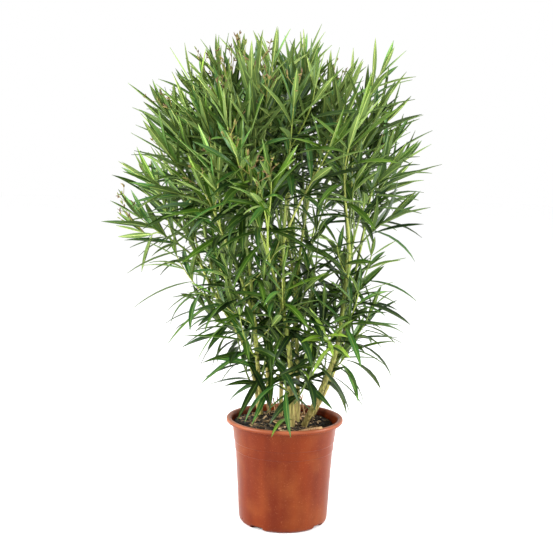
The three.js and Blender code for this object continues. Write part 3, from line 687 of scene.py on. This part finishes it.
# Dead wood is left where stems were cut: one stub lies over the front of the lip, and short thin
# ones stand among the stems. It has dried to a matt straw brown with no green in it.
LYING_STUB = [(30, -66, 1), (42, -75, 6), (58, -88, 13), (72, -99, 18)]  # above the compost
STUB_RADIUS = 3.3
DEAD_TWIGS = dict(count=20, centre=(2, 42), reach=(46, 30), lean=(6, 30), ease=8, length=(22, 66),
                  radius=(1.1, 2.1), depth=4)
DEAD_TONES = ("#6a4f2e", "#b99266")
dead_rng = np.random.default_rng(31)
dead = [(evenly(np.array(LYING_STUB) + [0, 0, COMPOST_TOP], 24), STUB_RADIUS)]
for turn in dead_rng.uniform(0, 2 * math.pi, DEAD_TWIGS["count"]):
    out = math.sqrt(dead_rng.uniform(0, 1)) * np.array(DEAD_TWIGS["reach"])
    x, y = np.array(DEAD_TWIGS["centre"]) + out * [math.cos(turn), math.sin(turn)]
    bearing, lean = dead_rng.uniform(0, 360), dead_rng.uniform(*DEAD_TWIGS["lean"])
    start = np.array([x, y, bed_height(x, y) - DEAD_TWIGS["depth"]])
    length = dead_rng.uniform(*DEAD_TWIGS["length"])
    path = rising_path(start, bearing, (lean, lean + DEAD_TWIGS["ease"]), length)
    dead.append((path, dead_rng.uniform(*DEAD_TWIGS["radius"])))
stubs = [bark_tube(path, radius * np.linspace(1, 0.8, 24), DEAD_SIDES, BARK_SEEDS["dead"] + k)
         for k, (path, radius) in enumerate(dead)]
dead_bark = thin_bark("dry_dead_bark", DEAD_TONES, DEAD_TONES)
stub_piece = make_piece("dead_stubs", *join(stubs)[:3], [dead_bark])

# ------------------------------------------------------------------------ the twigs
# The green shoots that bear the leaves: each mass's leader and side shoots, the low shoots, and
# the finer twigs and spurs that they and the boughs throw within the same outline. They are soft
# young wood, a little waxy, and dull olive to yellow-green.

TWIG_COLOURS = ["#56682a", "#6c7f2e", "#86973a", "#98a048"]
TWIG_RADIUS, TWIG_TIP_RADIUS = 2.5, 1.2  # of a long shoot; the other kinds are thinner by these:
TWIG_THICKNESS = dict(shoot=1.0, low=0.9, fine=0.66, spur=0.6, sprig=0.6, old=0.6)
TWIG_SIDES, TWIG_STEP = 7, 9  # points round a twig, and the distance from ring to ring
FLANK_POLAR = 42  # lower on the dome than this, the right-hand flank has fewer finer twigs
BARE_FLANK = dict(polar=28, leafy=0.8)  # and lower than this, leaves on less of each long shoot
FINE_SHARES = dict(flank=(0.55, 0.45, 0), crown=(0, 0.34, 0.66))  # shoots with none, one and two
FINE_AT = (0.2, 0.75)  # the shares of its length between which they start
FINE_REACH = (0.78, 1.02)  # how far out towards the dome they end
FINE_SCATTER = 10  # how many degrees round the dome from the shoot's own tip
FINE_POLAR = (3, 89)
FINE_TURN = 0.8  # how strongly they turn at once to their tips
FINE_LEAN = dict(more=6, most=60)
# Where the outline swells or draws in: the middle of each place, and how much further out the
# finer twigs end there, as a share of the dome.
BULGES = table("bearing polar out", (-15, 28, 0.2), (200, 84, 0.12), (178, 52, -0.22),
               (0, 62, -0.12), (190, 24, 0.15))
BULGE_WIDTH = 22
SPUR_LENGTH, SPUR_LEAN = (60, 125), (58, 16)
SPUR_SWING = 160  # the most degrees to either side of its stem's heading
IN_TURN = (0.1, 0.9)  # each of several twigs starts within this part of its share of the limb
SHORT_SHARE = 0.36  # long shoots that stopped early, which leaves notches in the outline
SHORTENED = (0.77, 0.92)
# Single twigs from the side of a stem: two young sprigs in front, whose leaves are pale with youth and paler
# still with painted light, longer ones that fill the flanks under the crown, and short ones near the compost
# whose old leaves hang.
TWIG_LEAN = (64, 44)
SIDE_TWIGS = table(
    "stem kind height bearing length lean",
    ("right_front", "sprig", 368, -118, 58),
    ("front", "sprig", 318, -28, 34),
    ("left", "spur", 384, 166, 112),
    ("left", "spur", 428, 190, 156, (54, 28)),
    ("left_front", "spur", 418, 194, 100),
    ("right_front", "spur", 445, -20, 128, (40, 12)),
    ("front", "old", 276, 215, 40),
    ("middle_front", "old", 282, 330, 46),
    ("left_front", "old", 270, 320, 36),
    ("middle_back", "old", 286, 240, 52),
    ("right_front", "old", 272, 200, 30),
)
twig_rng = np.random.default_rng(23)


def at_height(path, height):
    """The share of a rising path's length at which it reaches a height."""
    return np.interp(height, path[:, 2], np.linspace(0, 1, len(path)))


def fine_twig(shoot, start_share):
    """A finer twig from the side of a long shoot, swept up to end a little below the dome and a
    little way round it. Each bulge adds its `out` times a bell curve of the angle to its middle."""
    start, tangent = at(shoot["path"], start_share)
    polar = np.clip(shoot["polar"] + twig_rng.uniform(-FINE_SCATTER, FINE_SCATTER), *FINE_POLAR)
    sine = max(LEAST_SINE, math.sin(math.radians(polar)))
    bearing = shoot["bearing"] + twig_rng.uniform(-FINE_SCATTER, FINE_SCATTER) / sine
    swell = 0
    for bulge in BULGES:
        near = leaning(bulge["polar"], bulge["bearing"]) @ leaning(polar, bearing)
        swell += bulge["out"] * math.exp(-((math.degrees(math.acos(near)) / BULGE_WIDTH) ** 2))
    end = on_crown(bearing, polar, twig_rng.uniform(*FINE_REACH) + swell)
    aim = unit(tangent + FINE_TURN * unit(end - start))
    lean = min(FINE_LEAN["most"], shoot["lean"] + FINE_LEAN["more"])
    return dict(shoot, kind="fine", path=sweep(start, aim, end, leaning(lean, bearing)))


def spur(limb, start_share):
    """A short twig from the side of a bough or an upper stem, which rises to any side of it."""
    start = at(limb["path"], start_share)[0]
    bearing = STEMS[limb["stem"]]["heading"] + twig_rng.uniform(-SPUR_SWING, SPUR_SWING)
    path = rising_path(start, bearing, SPUR_LEAN, twig_rng.uniform(*SPUR_LENGTH))
    return dict(stem=limb["stem"], kind="spur", path=path)


def in_turn(count):
    """Yields seeded shares from 0 to 1, one within each of `count` equal parts."""
    for k in range(count):
        yield (k + twig_rng.uniform(*IN_TURN)) / count


def replace_foliage(stem):
    """Hides the source's foliage masses of a stem, which its pieces of twigs and leaves stand for."""
    kinds = ("front", "back", "foot") if is_inner(stem) else ("low", "high", "foot")
    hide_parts(*(f"foliage_{stem['name']}_{kind}" for kind in kinds))


twigs = list(shoots)
for shoot in [shoot for shoot in shoots if shoot["kind"] == "shoot"]:
    on_right = math.cos(math.radians(shoot["bearing"])) > 0
    shoot["leafy"] = BARE_FLANK["leafy"] if on_right and shoot["polar"] > BARE_FLANK["polar"] else 1.0
    on_flank = on_right and shoot["polar"] > FLANK_POLAR
    count = twig_rng.choice(3, p=FINE_SHARES["flank" if on_flank else "crown"])
    twigs += [fine_twig(shoot, np.interp(share, (0, 1), FINE_AT)) for share in in_turn(count)]
for limb in boughs:
    twigs += [spur(limb, share) for share in in_turn(limb["spurs"])]
stem_names = [stem["name"] for stem in STEMS]
for row in SIDE_TWIGS:
    number = stem_names.index(row["stem"])
    start = at(trunks[number], at_height(trunks[number], row["height"]))[0]
    path = rising_path(start, row["bearing"], row.get("lean", TWIG_LEAN), row["length"])
    twigs.append(dict(stem=number, kind=row["kind"], path=path))
for twig in twigs:
    if twig["kind"] == "shoot" and twig_rng.uniform(0, 1) < SHORT_SHARE:
        twig["path"] = stretch(twig["path"], 0, twig_rng.uniform(*SHORTENED))
    twig["vigour"] = float(twig_rng.uniform(0, 1))
    twig["length"] = length_of(twig["path"])

# Satin young wood, between bark and leaves in gloss. Its tones are dealt out twig by twig, from
# the dull olive that the low shoots all have to a yellow-green.
twig_materials = [new_material(f"green_wood_{k}", c, 0.5) for k, c in enumerate(TWIG_COLOURS)]
for index, stem in enumerate(STEMS):
    meshes, tones = [], []
    for twig in [twig for twig in twigs if twig["stem"] == index]:
        steps = max(5, int(twig["length"] / TWIG_STEP))
        radius = np.linspace(TWIG_RADIUS * TWIG_THICKNESS[twig["kind"]], TWIG_TIP_RADIUS, steps)
        meshes.append(tube(evenly(twig["path"], steps), radius, TWIG_SIDES))
        tones.append(0 if twig["kind"] == "low" else int(twig["vigour"] * 3.99))
    *mesh, source = join(meshes)
    piece = make_piece(f"twigs_{stem['name']}", *mesh, twig_materials, np.array(tones)[source])
    replace_foliage(stem)

# ------------------------------------------------------------------------ the leaves
# Narrow leathery leaves in whorls of three. The upper face is deep green with a satin wax, the
# midrib is pale, and the under face is a lighter grey-green. Young leaves at a shoot's tip stand
# up, small and bright, and the old ones below spread, arch over and darken.

# For each kind of twig: the least and most distance between whorls, and a full-grown and a young leaf's
# length and width. `age` is how far the leaves at its tip have opened, `covered` the share of its length
# that bears leaves, `light` how many tones paler they are, and `cool` the share of leaves with a bluish
# green. `light` is partly painted light: the finer twigs at the outside of the crown and the sprigs in front
# are dealt paler tones, as where the light falls on them, besides the young sprigs' own paleness.
LEAF_HABITS = table(
    "kind gap grown young age covered light cool",
    ("shoot", (26, 37), (122, 13.6), (84, 10), 0.03, 0.76, 0.1, 0.28),
    ("fine", (23, 34), (106, 12), (72, 8.5), 0.03, 0.74, 0.7, 0.28),
    ("low", (37, 45), (122, 14.5), (84, 9.5), 0.4, 0.9, 0.1, 0.5),
    ("spur", (22, 30), (112, 12.5), (60, 7), 0.28, 0.85, 0.3, 0.45),
    ("old", (16, 22), (118, 14.5), (98, 12.5), 0.85, 0.95, 0.3, 0.5),
    ("sprig", (15, 19), (80, 12), (66, 10), 0.4, 0.9, 4.2, 0),
)
TOP_COLOURS = ["#182909", "#20370b", "#2b470e", "#385811", "#486816", "#5f7f20", "#84a638"]
COOL_COLOURS = ["#172c11", "#1e3916", "#294c1c", "#365f25", "#46712f", "#5a873c", "#78a150"]
UNDER_COLOURS = ["#34471c", "#3e5322", "#495f29", "#566d31", "#647b3b", "#758c48", "#899e58"]
RIB_COLOURS = ["#496021", "#556d27", "#647c30", "#768d3a", "#899e46", "#9dae55", "#b3c068"]
POT_CLEAR = 6  # leaves that would come nearer to the pot's lip than this have been shed
# A leaf has points at these shares of its length, close together near the stalk.
STATIONS = np.array([0, 0.05, 0.13, 0.26, 0.42, 0.58, 0.73, 0.87, 1.0])
LINES = 6  # lines that run along a leaf, with a strip of faces between each and the next
RIB_SHARE = 0.4  # the midrib is no wider than this share of the leaf
RIB_HALF_WIDTH = (0.66, 0.32)  # at the stalk and at the tip, a little wider than life, to show
RIB_ABOVE, RIB_BELOW = 0.33, -0.506  # its surfaces, from the blades' level
WHORL = 3  # leaves at each node, turned half a step from those at the next
FIRST_NODE = 1.5  # from the tip
OPEN_AFTER, FULL_AFTER = 190, 62  # distances from the tip: wide open, and full-grown
OPENING = (15, 50)  # degrees from the twig when closed, and how many more when wide open
DROOP = 0.32
ARCH = dict(young=-0.08, grown=0.04, old=0.95)  # radians that a leaf curls back along its length
FOLD = dict(young=0.5, opens=0.3)  # how steeply the blades rise from the midrib
VIGOUR_SIZE = (0.86, 0.28)  # a weak twig's leaf size, and how much more a strong one's is
VIGOUR_TURN = 9  # turns whole whorls, so that neighbouring twigs differ
TONE = dict(young=3.8, opens=2.5, vigour=2.3, top=0.25)  # from dark 0 to light 6; `top` is painted light, how many tones paler the leaves high in the crown are
PAINTED_LIGHT_BAND = (620, 260)  # painted light: the height round which leaves are dealt paler tones above and darker below, and over how much
SCATTER = dict(turn=0.18, angle=0.13, length=0.1, width=0.09, twist=0.4, tone=0.65)
SHED = 0.07  # the share of leaves that are gone
leaf_rng = np.random.default_rng(5)


def leaf_outline(s):
    """Half a leaf's width along it, as a share of the widest: a narrow stalk, then the sine of
    pi s^0.92 to the power 0.86, drawn out to a fine tip."""
    blade = np.sin(math.pi * np.clip(s, 0, 1) ** 0.92).clip(0) ** 0.86
    return np.maximum(blade, np.where(s < 0.5, 0.16 - 0.1 * s, 0.02))


def leaf_spines(root, aim, normal, length, bend):
    """Leaves' middle lines at STATIONS: arcs of a circle of angle `bend` that leave `root` along
    `aim` and curl away from `normal`."""
    safe = np.where(np.abs(bend) < 1e-3, 1e-3, bend)[:, None, None]
    turn = safe * STATIONS[None, :, None]
    along, drop = np.sin(turn) / safe, (1 - np.cos(turn)) / safe
    return root[:, None] + length[:, None, None] * (along * aim[:, None] - drop * normal[:, None])


def leaf_mesh(root, aim, normal, length, width, bend, twist, fold):
    """Leaves as closed skins of six strips along STATIONS: two blades and a midrib above, and the
    same below. Both ends are closed. The cross section turns by `twist` along the middle line,
    and the blades rise from the midrib by `fold`."""
    middle = leaf_spines(root, aim, normal, length, bend)
    s = STATIONS[None, :, None]
    turn = bend[:, None, None] * s
    aim, normal = aim[:, None], normal[:, None]
    up = np.cos(turn) * normal + np.sin(turn) * aim
    side = np.cross(normal, aim) + 0 * up
    roll = twist[:, None, None] * s
    side, up = np.cos(roll) * side + np.sin(roll) * up, np.cos(roll) * up - np.sin(roll) * side
    half = width[:, None] / 2 * leaf_outline(STATIONS)[None]
    rib = np.minimum(RIB_SHARE * half, np.interp(STATIONS, (0, 1), RIB_HALF_WIDTH))
    upper, under = [(-rib, RIB_ABOVE), (rib, RIB_ABOVE)], [(rib, RIB_BELOW), (-rib, RIB_BELOW)]
    lines = []
    for across, rise in ((-half, 0), *upper, (half, 0), *under):
        lift = fold[:, None] * np.abs(across) + rise
        lines.append(middle + across[..., None] * side + lift[..., None] * up)
    points = np.stack(lines, axis=1).reshape(-1, 3)
    strip, step = np.meshgrid(np.arange(LINES), np.arange(len(STATIONS) - 1), indexing="ij")
    near, far = strip * len(STATIONS) + step, (strip + 1) % LINES * len(STATIONS) + step
    quads = np.stack([near, near + 1, far + 1, far], axis=-1).reshape(-1, 4)
    tip = len(STATIONS) - 1
    end_quads = np.array([[1, 2, 4, 5]]) * len(STATIONS)
    end_triangles = np.array([[0, 1, 5], [2, 3, 4]]) * len(STATIONS)
    quads = np.concatenate([quads, end_quads, end_quads[:, ::-1] + tip])
    triangles = np.concatenate([end_triangles, end_triangles[:, ::-1] + tip])
    starts = np.arange(len(root))[:, None, None] * (LINES * len(STATIONS))
    return points, (quads + starts).reshape(-1, 4), (triangles + starts).reshape(-1, 3)


def crease(mesh):
    """Marks as sharp the edges that run along the leaves and round their ends, so that light
    falls on each strip as on a surface of its own."""
    ends = np.empty(2 * len(mesh.edges), np.int32)
    mesh.edges.foreach_get("vertices", ends)
    line, station = np.divmod(ends.reshape(-1, 2) % (LINES * len(STATIONS)), len(STATIONS))
    at_end = (station == 0).all(axis=1) | (station == len(STATIONS) - 1).all(axis=1)
    sharp = mesh.attributes.new("sharp_edge", "BOOLEAN", "EDGE")
    sharp.data.foreach_set("value", (line[:, 0] == line[:, 1]) | at_end)


def leaves_of(twig):
    """The leaves of one twig, whorl by whorl down from its tip. `back` is the distance from the
    tip: with it a leaf grows from young to full size, opens from the twig and arches over."""
    habit = next(row for row in LEAF_HABITS if row["kind"] == twig["kind"])
    gap = np.interp(twig["vigour"], (0, 1), habit["gap"])
    leafy = twig["length"] * habit["covered"] * twig.get("leafy", 1.0)
    node, place_in_whorl = np.indices((len(np.arange(FIRST_NODE, leafy, gap)), WHORL)).reshape(2, -1)
    back = FIRST_NODE + gap * node
    count = len(back)
    scatter = lambda kind: leaf_rng.normal(0, SCATTER[kind], count)
    uniform = lambda low, high: leaf_rng.uniform(low, high, count)
    place, tangent = at(twig["path"], 1 - back / twig["length"])
    spread = np.clip(habit["age"] + back / OPEN_AFTER, 0, 1) ** 0.8
    turn = (node / 2 + place_in_whorl) * 2 * math.pi / WHORL + twig["vigour"] * VIGOUR_TURN
    turn = turn + scatter("turn")
    side = unit(np.cross(tangent, [0, 0, 1.0]))
    out = np.cos(turn)[:, None] * side + np.sin(turn)[:, None] * np.cross(side, tangent)
    angle = np.radians(OPENING[0] + OPENING[1] * spread) + scatter("angle")
    aim = np.sin(angle)[:, None] * out + np.cos(angle)[:, None] * tangent
    aim[:, 2] -= DROOP * spread * uniform(0.2, 1.3)
    aim = unit(aim)
    normal = tangent + 0.45 * spread[:, None] * np.array([0, 0, 1.0])
    normal = unit(normal - aim * (normal * aim).sum(axis=1, keepdims=True))
    grown = np.clip(0.05 + back / FULL_AFTER, 0, 1)
    length, width = (young + (full - young) * grown
                     for full, young in zip(habit["grown"], habit["young"]))
    length = length * (1 + scatter("length")).clip(0.7, 1.2)
    length = length * (VIGOUR_SIZE[0] + VIGOUR_SIZE[1] * twig["vigour"])
    width = width * (1 + scatter("width"))
    bend = np.where(grown < 0.5, ARCH["young"], ARCH["grown"])
    bend = bend + ARCH["old"] * spread * uniform(0.1, 1.25)
    twist = scatter("twist")
    fold = FOLD["young"] - FOLD["opens"] * spread + uniform(0, 0.15)
    bright = TONE["young"] - TONE["opens"] * spread + TONE["vigour"] * (twig["vigour"] - 0.5)
    # The kind's `light` is partly painted light: whole kinds of twig are dealt paler tones where the light
    # falls on them.
    bright = bright + scatter("tone") + habit["light"]
    # Painted light: leaves high in the crown are dealt paler tones, and low ones darker.
    bright = bright + TONE["top"] * np.clip((place[:, 2] - PAINTED_LIGHT_BAND[0]) / PAINTED_LIGHT_BAND[1], -1, 1)
    spine = leaf_spines(place, aim, normal, length, bend)
    over_pot = np.hypot(spine[..., 0], spine[..., 1]) < RIM_RADIUS + POT_CLEAR
    in_pot = (over_pot & (spine[..., 2] < POT_HEIGHT + POT_CLEAR)).any(axis=1)
    kept = (uniform(0, 1) > SHED) & ~in_pot
    cool = uniform(0, 1) < habit["cool"]
    tone = bright.clip(0, 6.99).astype(int)
    columns = (place, aim, normal, length, width, bend, twist, fold, tone, cool)
    return [column[kept] for column in columns]


def rim_leaf():
    """The old leaf at the foot of the front stem that hangs over the pot's lip, in columns like
    those of `leaves_of`."""
    trunk = trunks[stem_names.index(RIM_STEM)]
    root = at(trunk, at_height(trunk, POT_HEIGHT + 1))[0]
    aim = unit(RIM_AIM)
    normal = np.cross(unit(np.cross(aim, [0, 0, 1.0])), aim)
    return [np.array([value]) for value in (root, aim, normal, *RIM_SHAPE.values())]


# A waxy leathery skin (IOR 1.42). The upper face is satin, and catches a soft highlight where a
# leaf turns to the light. The under face is matt and greyer, and the midrib the palest.
LEAF_SKINS = [("upper", TOP_COLOURS, 0.42), ("underside", UNDER_COLOURS, 0.6),
              ("midrib", RIB_COLOURS, 0.5), ("bluish_upper", COOL_COLOURS, 0.4)]
leaf_materials = [new_material(f"leaf_{skin}_{k}", colour, roughness, ior=1.42, sheen=0.36)
                  for skin, colours, roughness in LEAF_SKINS for k, colour in enumerate(colours)]
RIM_STEM, RIM_AIM = "front", (-0.35, -0.83, 0.45)
RIM_SHAPE = dict(length=110.0, width=13.5, bend=1.1, twist=0.35, fold=0.2, tone=4, cool=False)
UPPER, UNDERSIDE, MIDRIB, BLUISH = range(len(LEAF_SKINS))
STRIP_KINDS = np.array([UPPER, MIDRIB, UPPER, UNDERSIDE, MIDRIB, UNDERSIDE])
UPPER_RIB, UNDER_RIB = 1, 4  # strips
END_QUADS, END_TRIANGLES = 2, 4  # faces that close a leaf's two ends, coloured as the midrib is
STRIP_OF_FACE = np.concatenate([np.repeat(np.arange(LINES), len(STATIONS) - 1),
                                np.full(END_QUADS + END_TRIANGLES, UPPER_RIB)])

for index, stem in enumerate(STEMS):
    columns = [leaves_of(twig) for twig in twigs if twig["stem"] == index]
    if stem["name"] == RIM_STEM:
        columns.append(rim_leaf())
    *shape, tone, cool = (np.concatenate(column) for column in zip(*columns))
    points, quads, triangles = leaf_mesh(*shape)
    kinds = STRIP_KINDS[STRIP_OF_FACE][None]
    kinds = np.where((kinds == UPPER) & cool[:, None], BLUISH, kinds)
    paler = np.minimum(tone + 2, len(RIB_COLOURS) - 1)  # the midrib is palest from below
    tone = np.where(STRIP_OF_FACE[None] == UNDER_RIB, paler[:, None], tone[:, None])
    slots = kinds * len(TOP_COLOURS) + tone
    slots = np.concatenate([slots[:, :-END_TRIANGLES].ravel(), slots[:, -END_TRIANGLES:].ravel()])
    piece = make_piece(f"leaves_{stem['name']}", points, quads, triangles, leaf_materials, slots)
    crease(piece.data)
    replace_foliage(stem)

# ------------------------------------------------------------------------ the bud trusses
# Flower stalks at some of the tips: thin forked stalks of young wood, yellowish to reddish brown,
# whose ends carry small closed buds. They grow out of the shoot and are part of it.

TRUSS_SHARE = (0.42, 0.07)  # how often a shoot bears one on the left of the crown and on the right
TRUSS_SIDE = 20  # where the right-hand side of the crown begins
STALK_LENGTH = (42, 72)
BRANCH_LENGTH = (16, 36)
BUD_LENGTH = (6, 11)
STALK_RADIUS, BRANCH_RADIUS = (1.0, 0.65), (0.7, 0.5)  # at the foot and at the end
BUD_RADIUS = (0.3, 1.1)  # at its ends, and how much more at the widest
BRANCHES, BUDS = 4, 3
STALK_STEPS = 9
FORKS = (0.4, 0.2)  # the share of a stalk at which its first branch starts, and from each to the next
GOLDEN_TURN = math.radians(137.5)  # from one branch to the next, round the stalk
TRUSS_COLOURS = ["#84863a", "#8c8040", "#7a6a3a", "#604a30", "#66702e"]
truss_rng = np.random.default_rng(61)


def bent(start, aim, end_aim, length, radius, sides):
    """A short stalk of a given length that leaves along one aim and ends along another: its
    path and its tube."""
    aim, end_aim = unit(aim), unit(end_aim)
    path = evenly(sweep(start, aim, start + length * unit(aim + end_aim), end_aim), STALK_STEPS)
    return path, tube(path, np.linspace(*radius, STALK_STEPS), sides)


def bud(start, aim, length):
    """A closed bud: a tube whose radius swells as the sine of pi t^0.8."""
    t = np.linspace(0.02, 1, 8)
    radius = BUD_RADIUS[0] + BUD_RADIUS[1] * np.sin(math.pi * t**0.8).clip(0)
    return tube(start + t[:, None] * length * aim, radius, 6)


def truss(tip, aim):
    """A stalk with four branches, turned 137.5 degrees from one another, that bear three buds
    each. Yields each mesh with the number of its colour."""
    up = np.array([0, 0, 1.0])
    end_aim = aim + 0.5 * up + 0.3 * truss_rng.normal(size=3)
    length = truss_rng.uniform(*STALK_LENGTH)
    stalk, mesh = bent(tip - 3 * aim, aim, end_aim, length, STALK_RADIUS, 6)
    yield mesh, int(truss_rng.integers(0, 3))
    turn = truss_rng.uniform(0, 2 * math.pi)
    for k in range(BRANCHES):
        start, along = at(stalk, FORKS[0] + FORKS[1] * k)
        side = unit(np.cross(along, up + 0.01))
        turn += GOLDEN_TURN
        out = math.cos(turn) * side + math.sin(turn) * np.cross(along, side)
        length = truss_rng.uniform(*BRANCH_LENGTH) * (1.2 - 0.15 * k)
        branch, mesh = bent(start, along + 0.9 * out, along + 0.4 * out, length, BRANCH_RADIUS, 5)
        yield mesh, int(truss_rng.integers(0, 3))
        for _ in range(BUDS):
            end, end_aim = at(branch, truss_rng.uniform(0.6, 1.0))
            bud_aim = unit(end_aim + 0.5 * truss_rng.normal(size=3))
            yield bud(end, bud_aim, truss_rng.uniform(*BUD_LENGTH)), int(truss_rng.integers(2, 5))


truss_parts = []
for twig in twigs:
    tip, aim = at(twig["path"], 1.0)
    share = TRUSS_SHARE[0 if tip[0] < TRUSS_SIDE else 1]
    if twig["kind"] in ("shoot", "fine") and truss_rng.uniform(0, 1) < share:
        truss_parts.extend(truss(tip, aim))
*mesh, source = join([mesh for mesh, _ in truss_parts])
# Matt young wood. The buds are still closed, so that their sepals look as dull as the stalks.
truss_materials = [new_material(f"flower_stalk_{k}", colour, 0.6, sheen=0.3)
                   for k, colour in enumerate(TRUSS_COLOURS)]
tones = np.array([tone for _, tone in truss_parts])[source]
trusses = make_piece("bud_trusses", *mesh, truss_materials, tones)

# ------------------------------------------------------------------------ the studio
# A plain white floor and soft light from a wide panel on either side, one overhead, and a white
# room, with the camera a little above the crown's middle and tilted down.

VIEW_DISTANCE = 2.02  # metres, like the other measures of the studio
VIEW_HEIGHT = 0.729
VIEW_SIDE = -0.0221
VIEW_TILT = math.radians(6.26)
VIEW_ROLL = math.radians(1.05)
VIEW_LENS, SENSOR_WIDTH = 65.09946, 36  # millimetres
FLOOR_REACH, FLOOR_DROP = 20.0, 0.0004
# Each soft panel's place, the point that it faces, its width and height, and its watts.
PANELS = table(
    "name place target size power",
    ("panel_left", (-2.3, -1.0, 1.1), (0, 0, 0.45), (1.1, 2.0), 150),
    ("panel_right", (2.4, -0.5, 1.1), (0, 0, 0.45), (1.0, 2.0), 128),
    ("panel_above", (-0.3, -0.8, 2.5), (0, 0, 0.5), (1.4, 1.4), 8),
)


def white_floor():
    """A level square that runs FLOOR_REACH each way, just under the pot's foot."""
    corners = np.array([[-1, -1, 0], [1, -1, 0], [1, 1, 0], [-1, 1, 0]]) * FLOOR_REACH
    corners[:, 2] = -FLOOR_DROP
    mesh = bpy.data.meshes.new("studio_floor")
    mesh.from_pydata(corners.tolist(), [], [(0, 1, 2, 3)])
    mesh.materials.append(new_material("white_studio_floor", "#ffffff", 0.9, sheen=0.2))
    put("studio_floor", mesh)


def soft_panel(name, place, target, size, power):
    """A square area light at a place, turned so that its beam (its own -Z) points at a target."""
    light = bpy.data.lights.new(name, "AREA")
    light.shape = "RECTANGLE"
    light.size, light.size_y = size
    light.energy = power
    back = unit(np.array(place) - np.array(target))
    right = unit(np.cross([0, 0, 1.0], back)) if abs(back[2]) < 0.99 else np.array([1.0, 0, 0])
    turn = np.stack([right, np.cross(back, right), back], axis=1)
    put(name, light).matrix_world = Matrix.Translation(place) @ Matrix(turn.tolist()).to_4x4()


white_floor()
for panel in PANELS:
    soft_panel(**panel)
world = bpy.data.worlds.new("white_room")
world.use_nodes = True
background = world.node_tree.nodes["Background"]
background.inputs["Color"].default_value = (1, 1, 1, 1)
background.inputs["Strength"].default_value = 1.0
bpy.context.scene.world = world
bpy.context.scene.view_settings.view_transform = "Standard"

camera = bpy.data.cameras.new("camera")
camera.sensor_width = SENSOR_WIDTH
camera.lens = VIEW_LENS
viewer = put("camera", camera)
facing = Matrix.Rotation(math.pi / 2 - VIEW_TILT, 4, "X") @ Matrix.Rotation(VIEW_ROLL, 4, "Z")
viewer.matrix_world = Matrix.Translation((VIEW_SIDE, -VIEW_DISTANCE, VIEW_HEIGHT)) @ facing
bpy.context.scene.camera = viewer
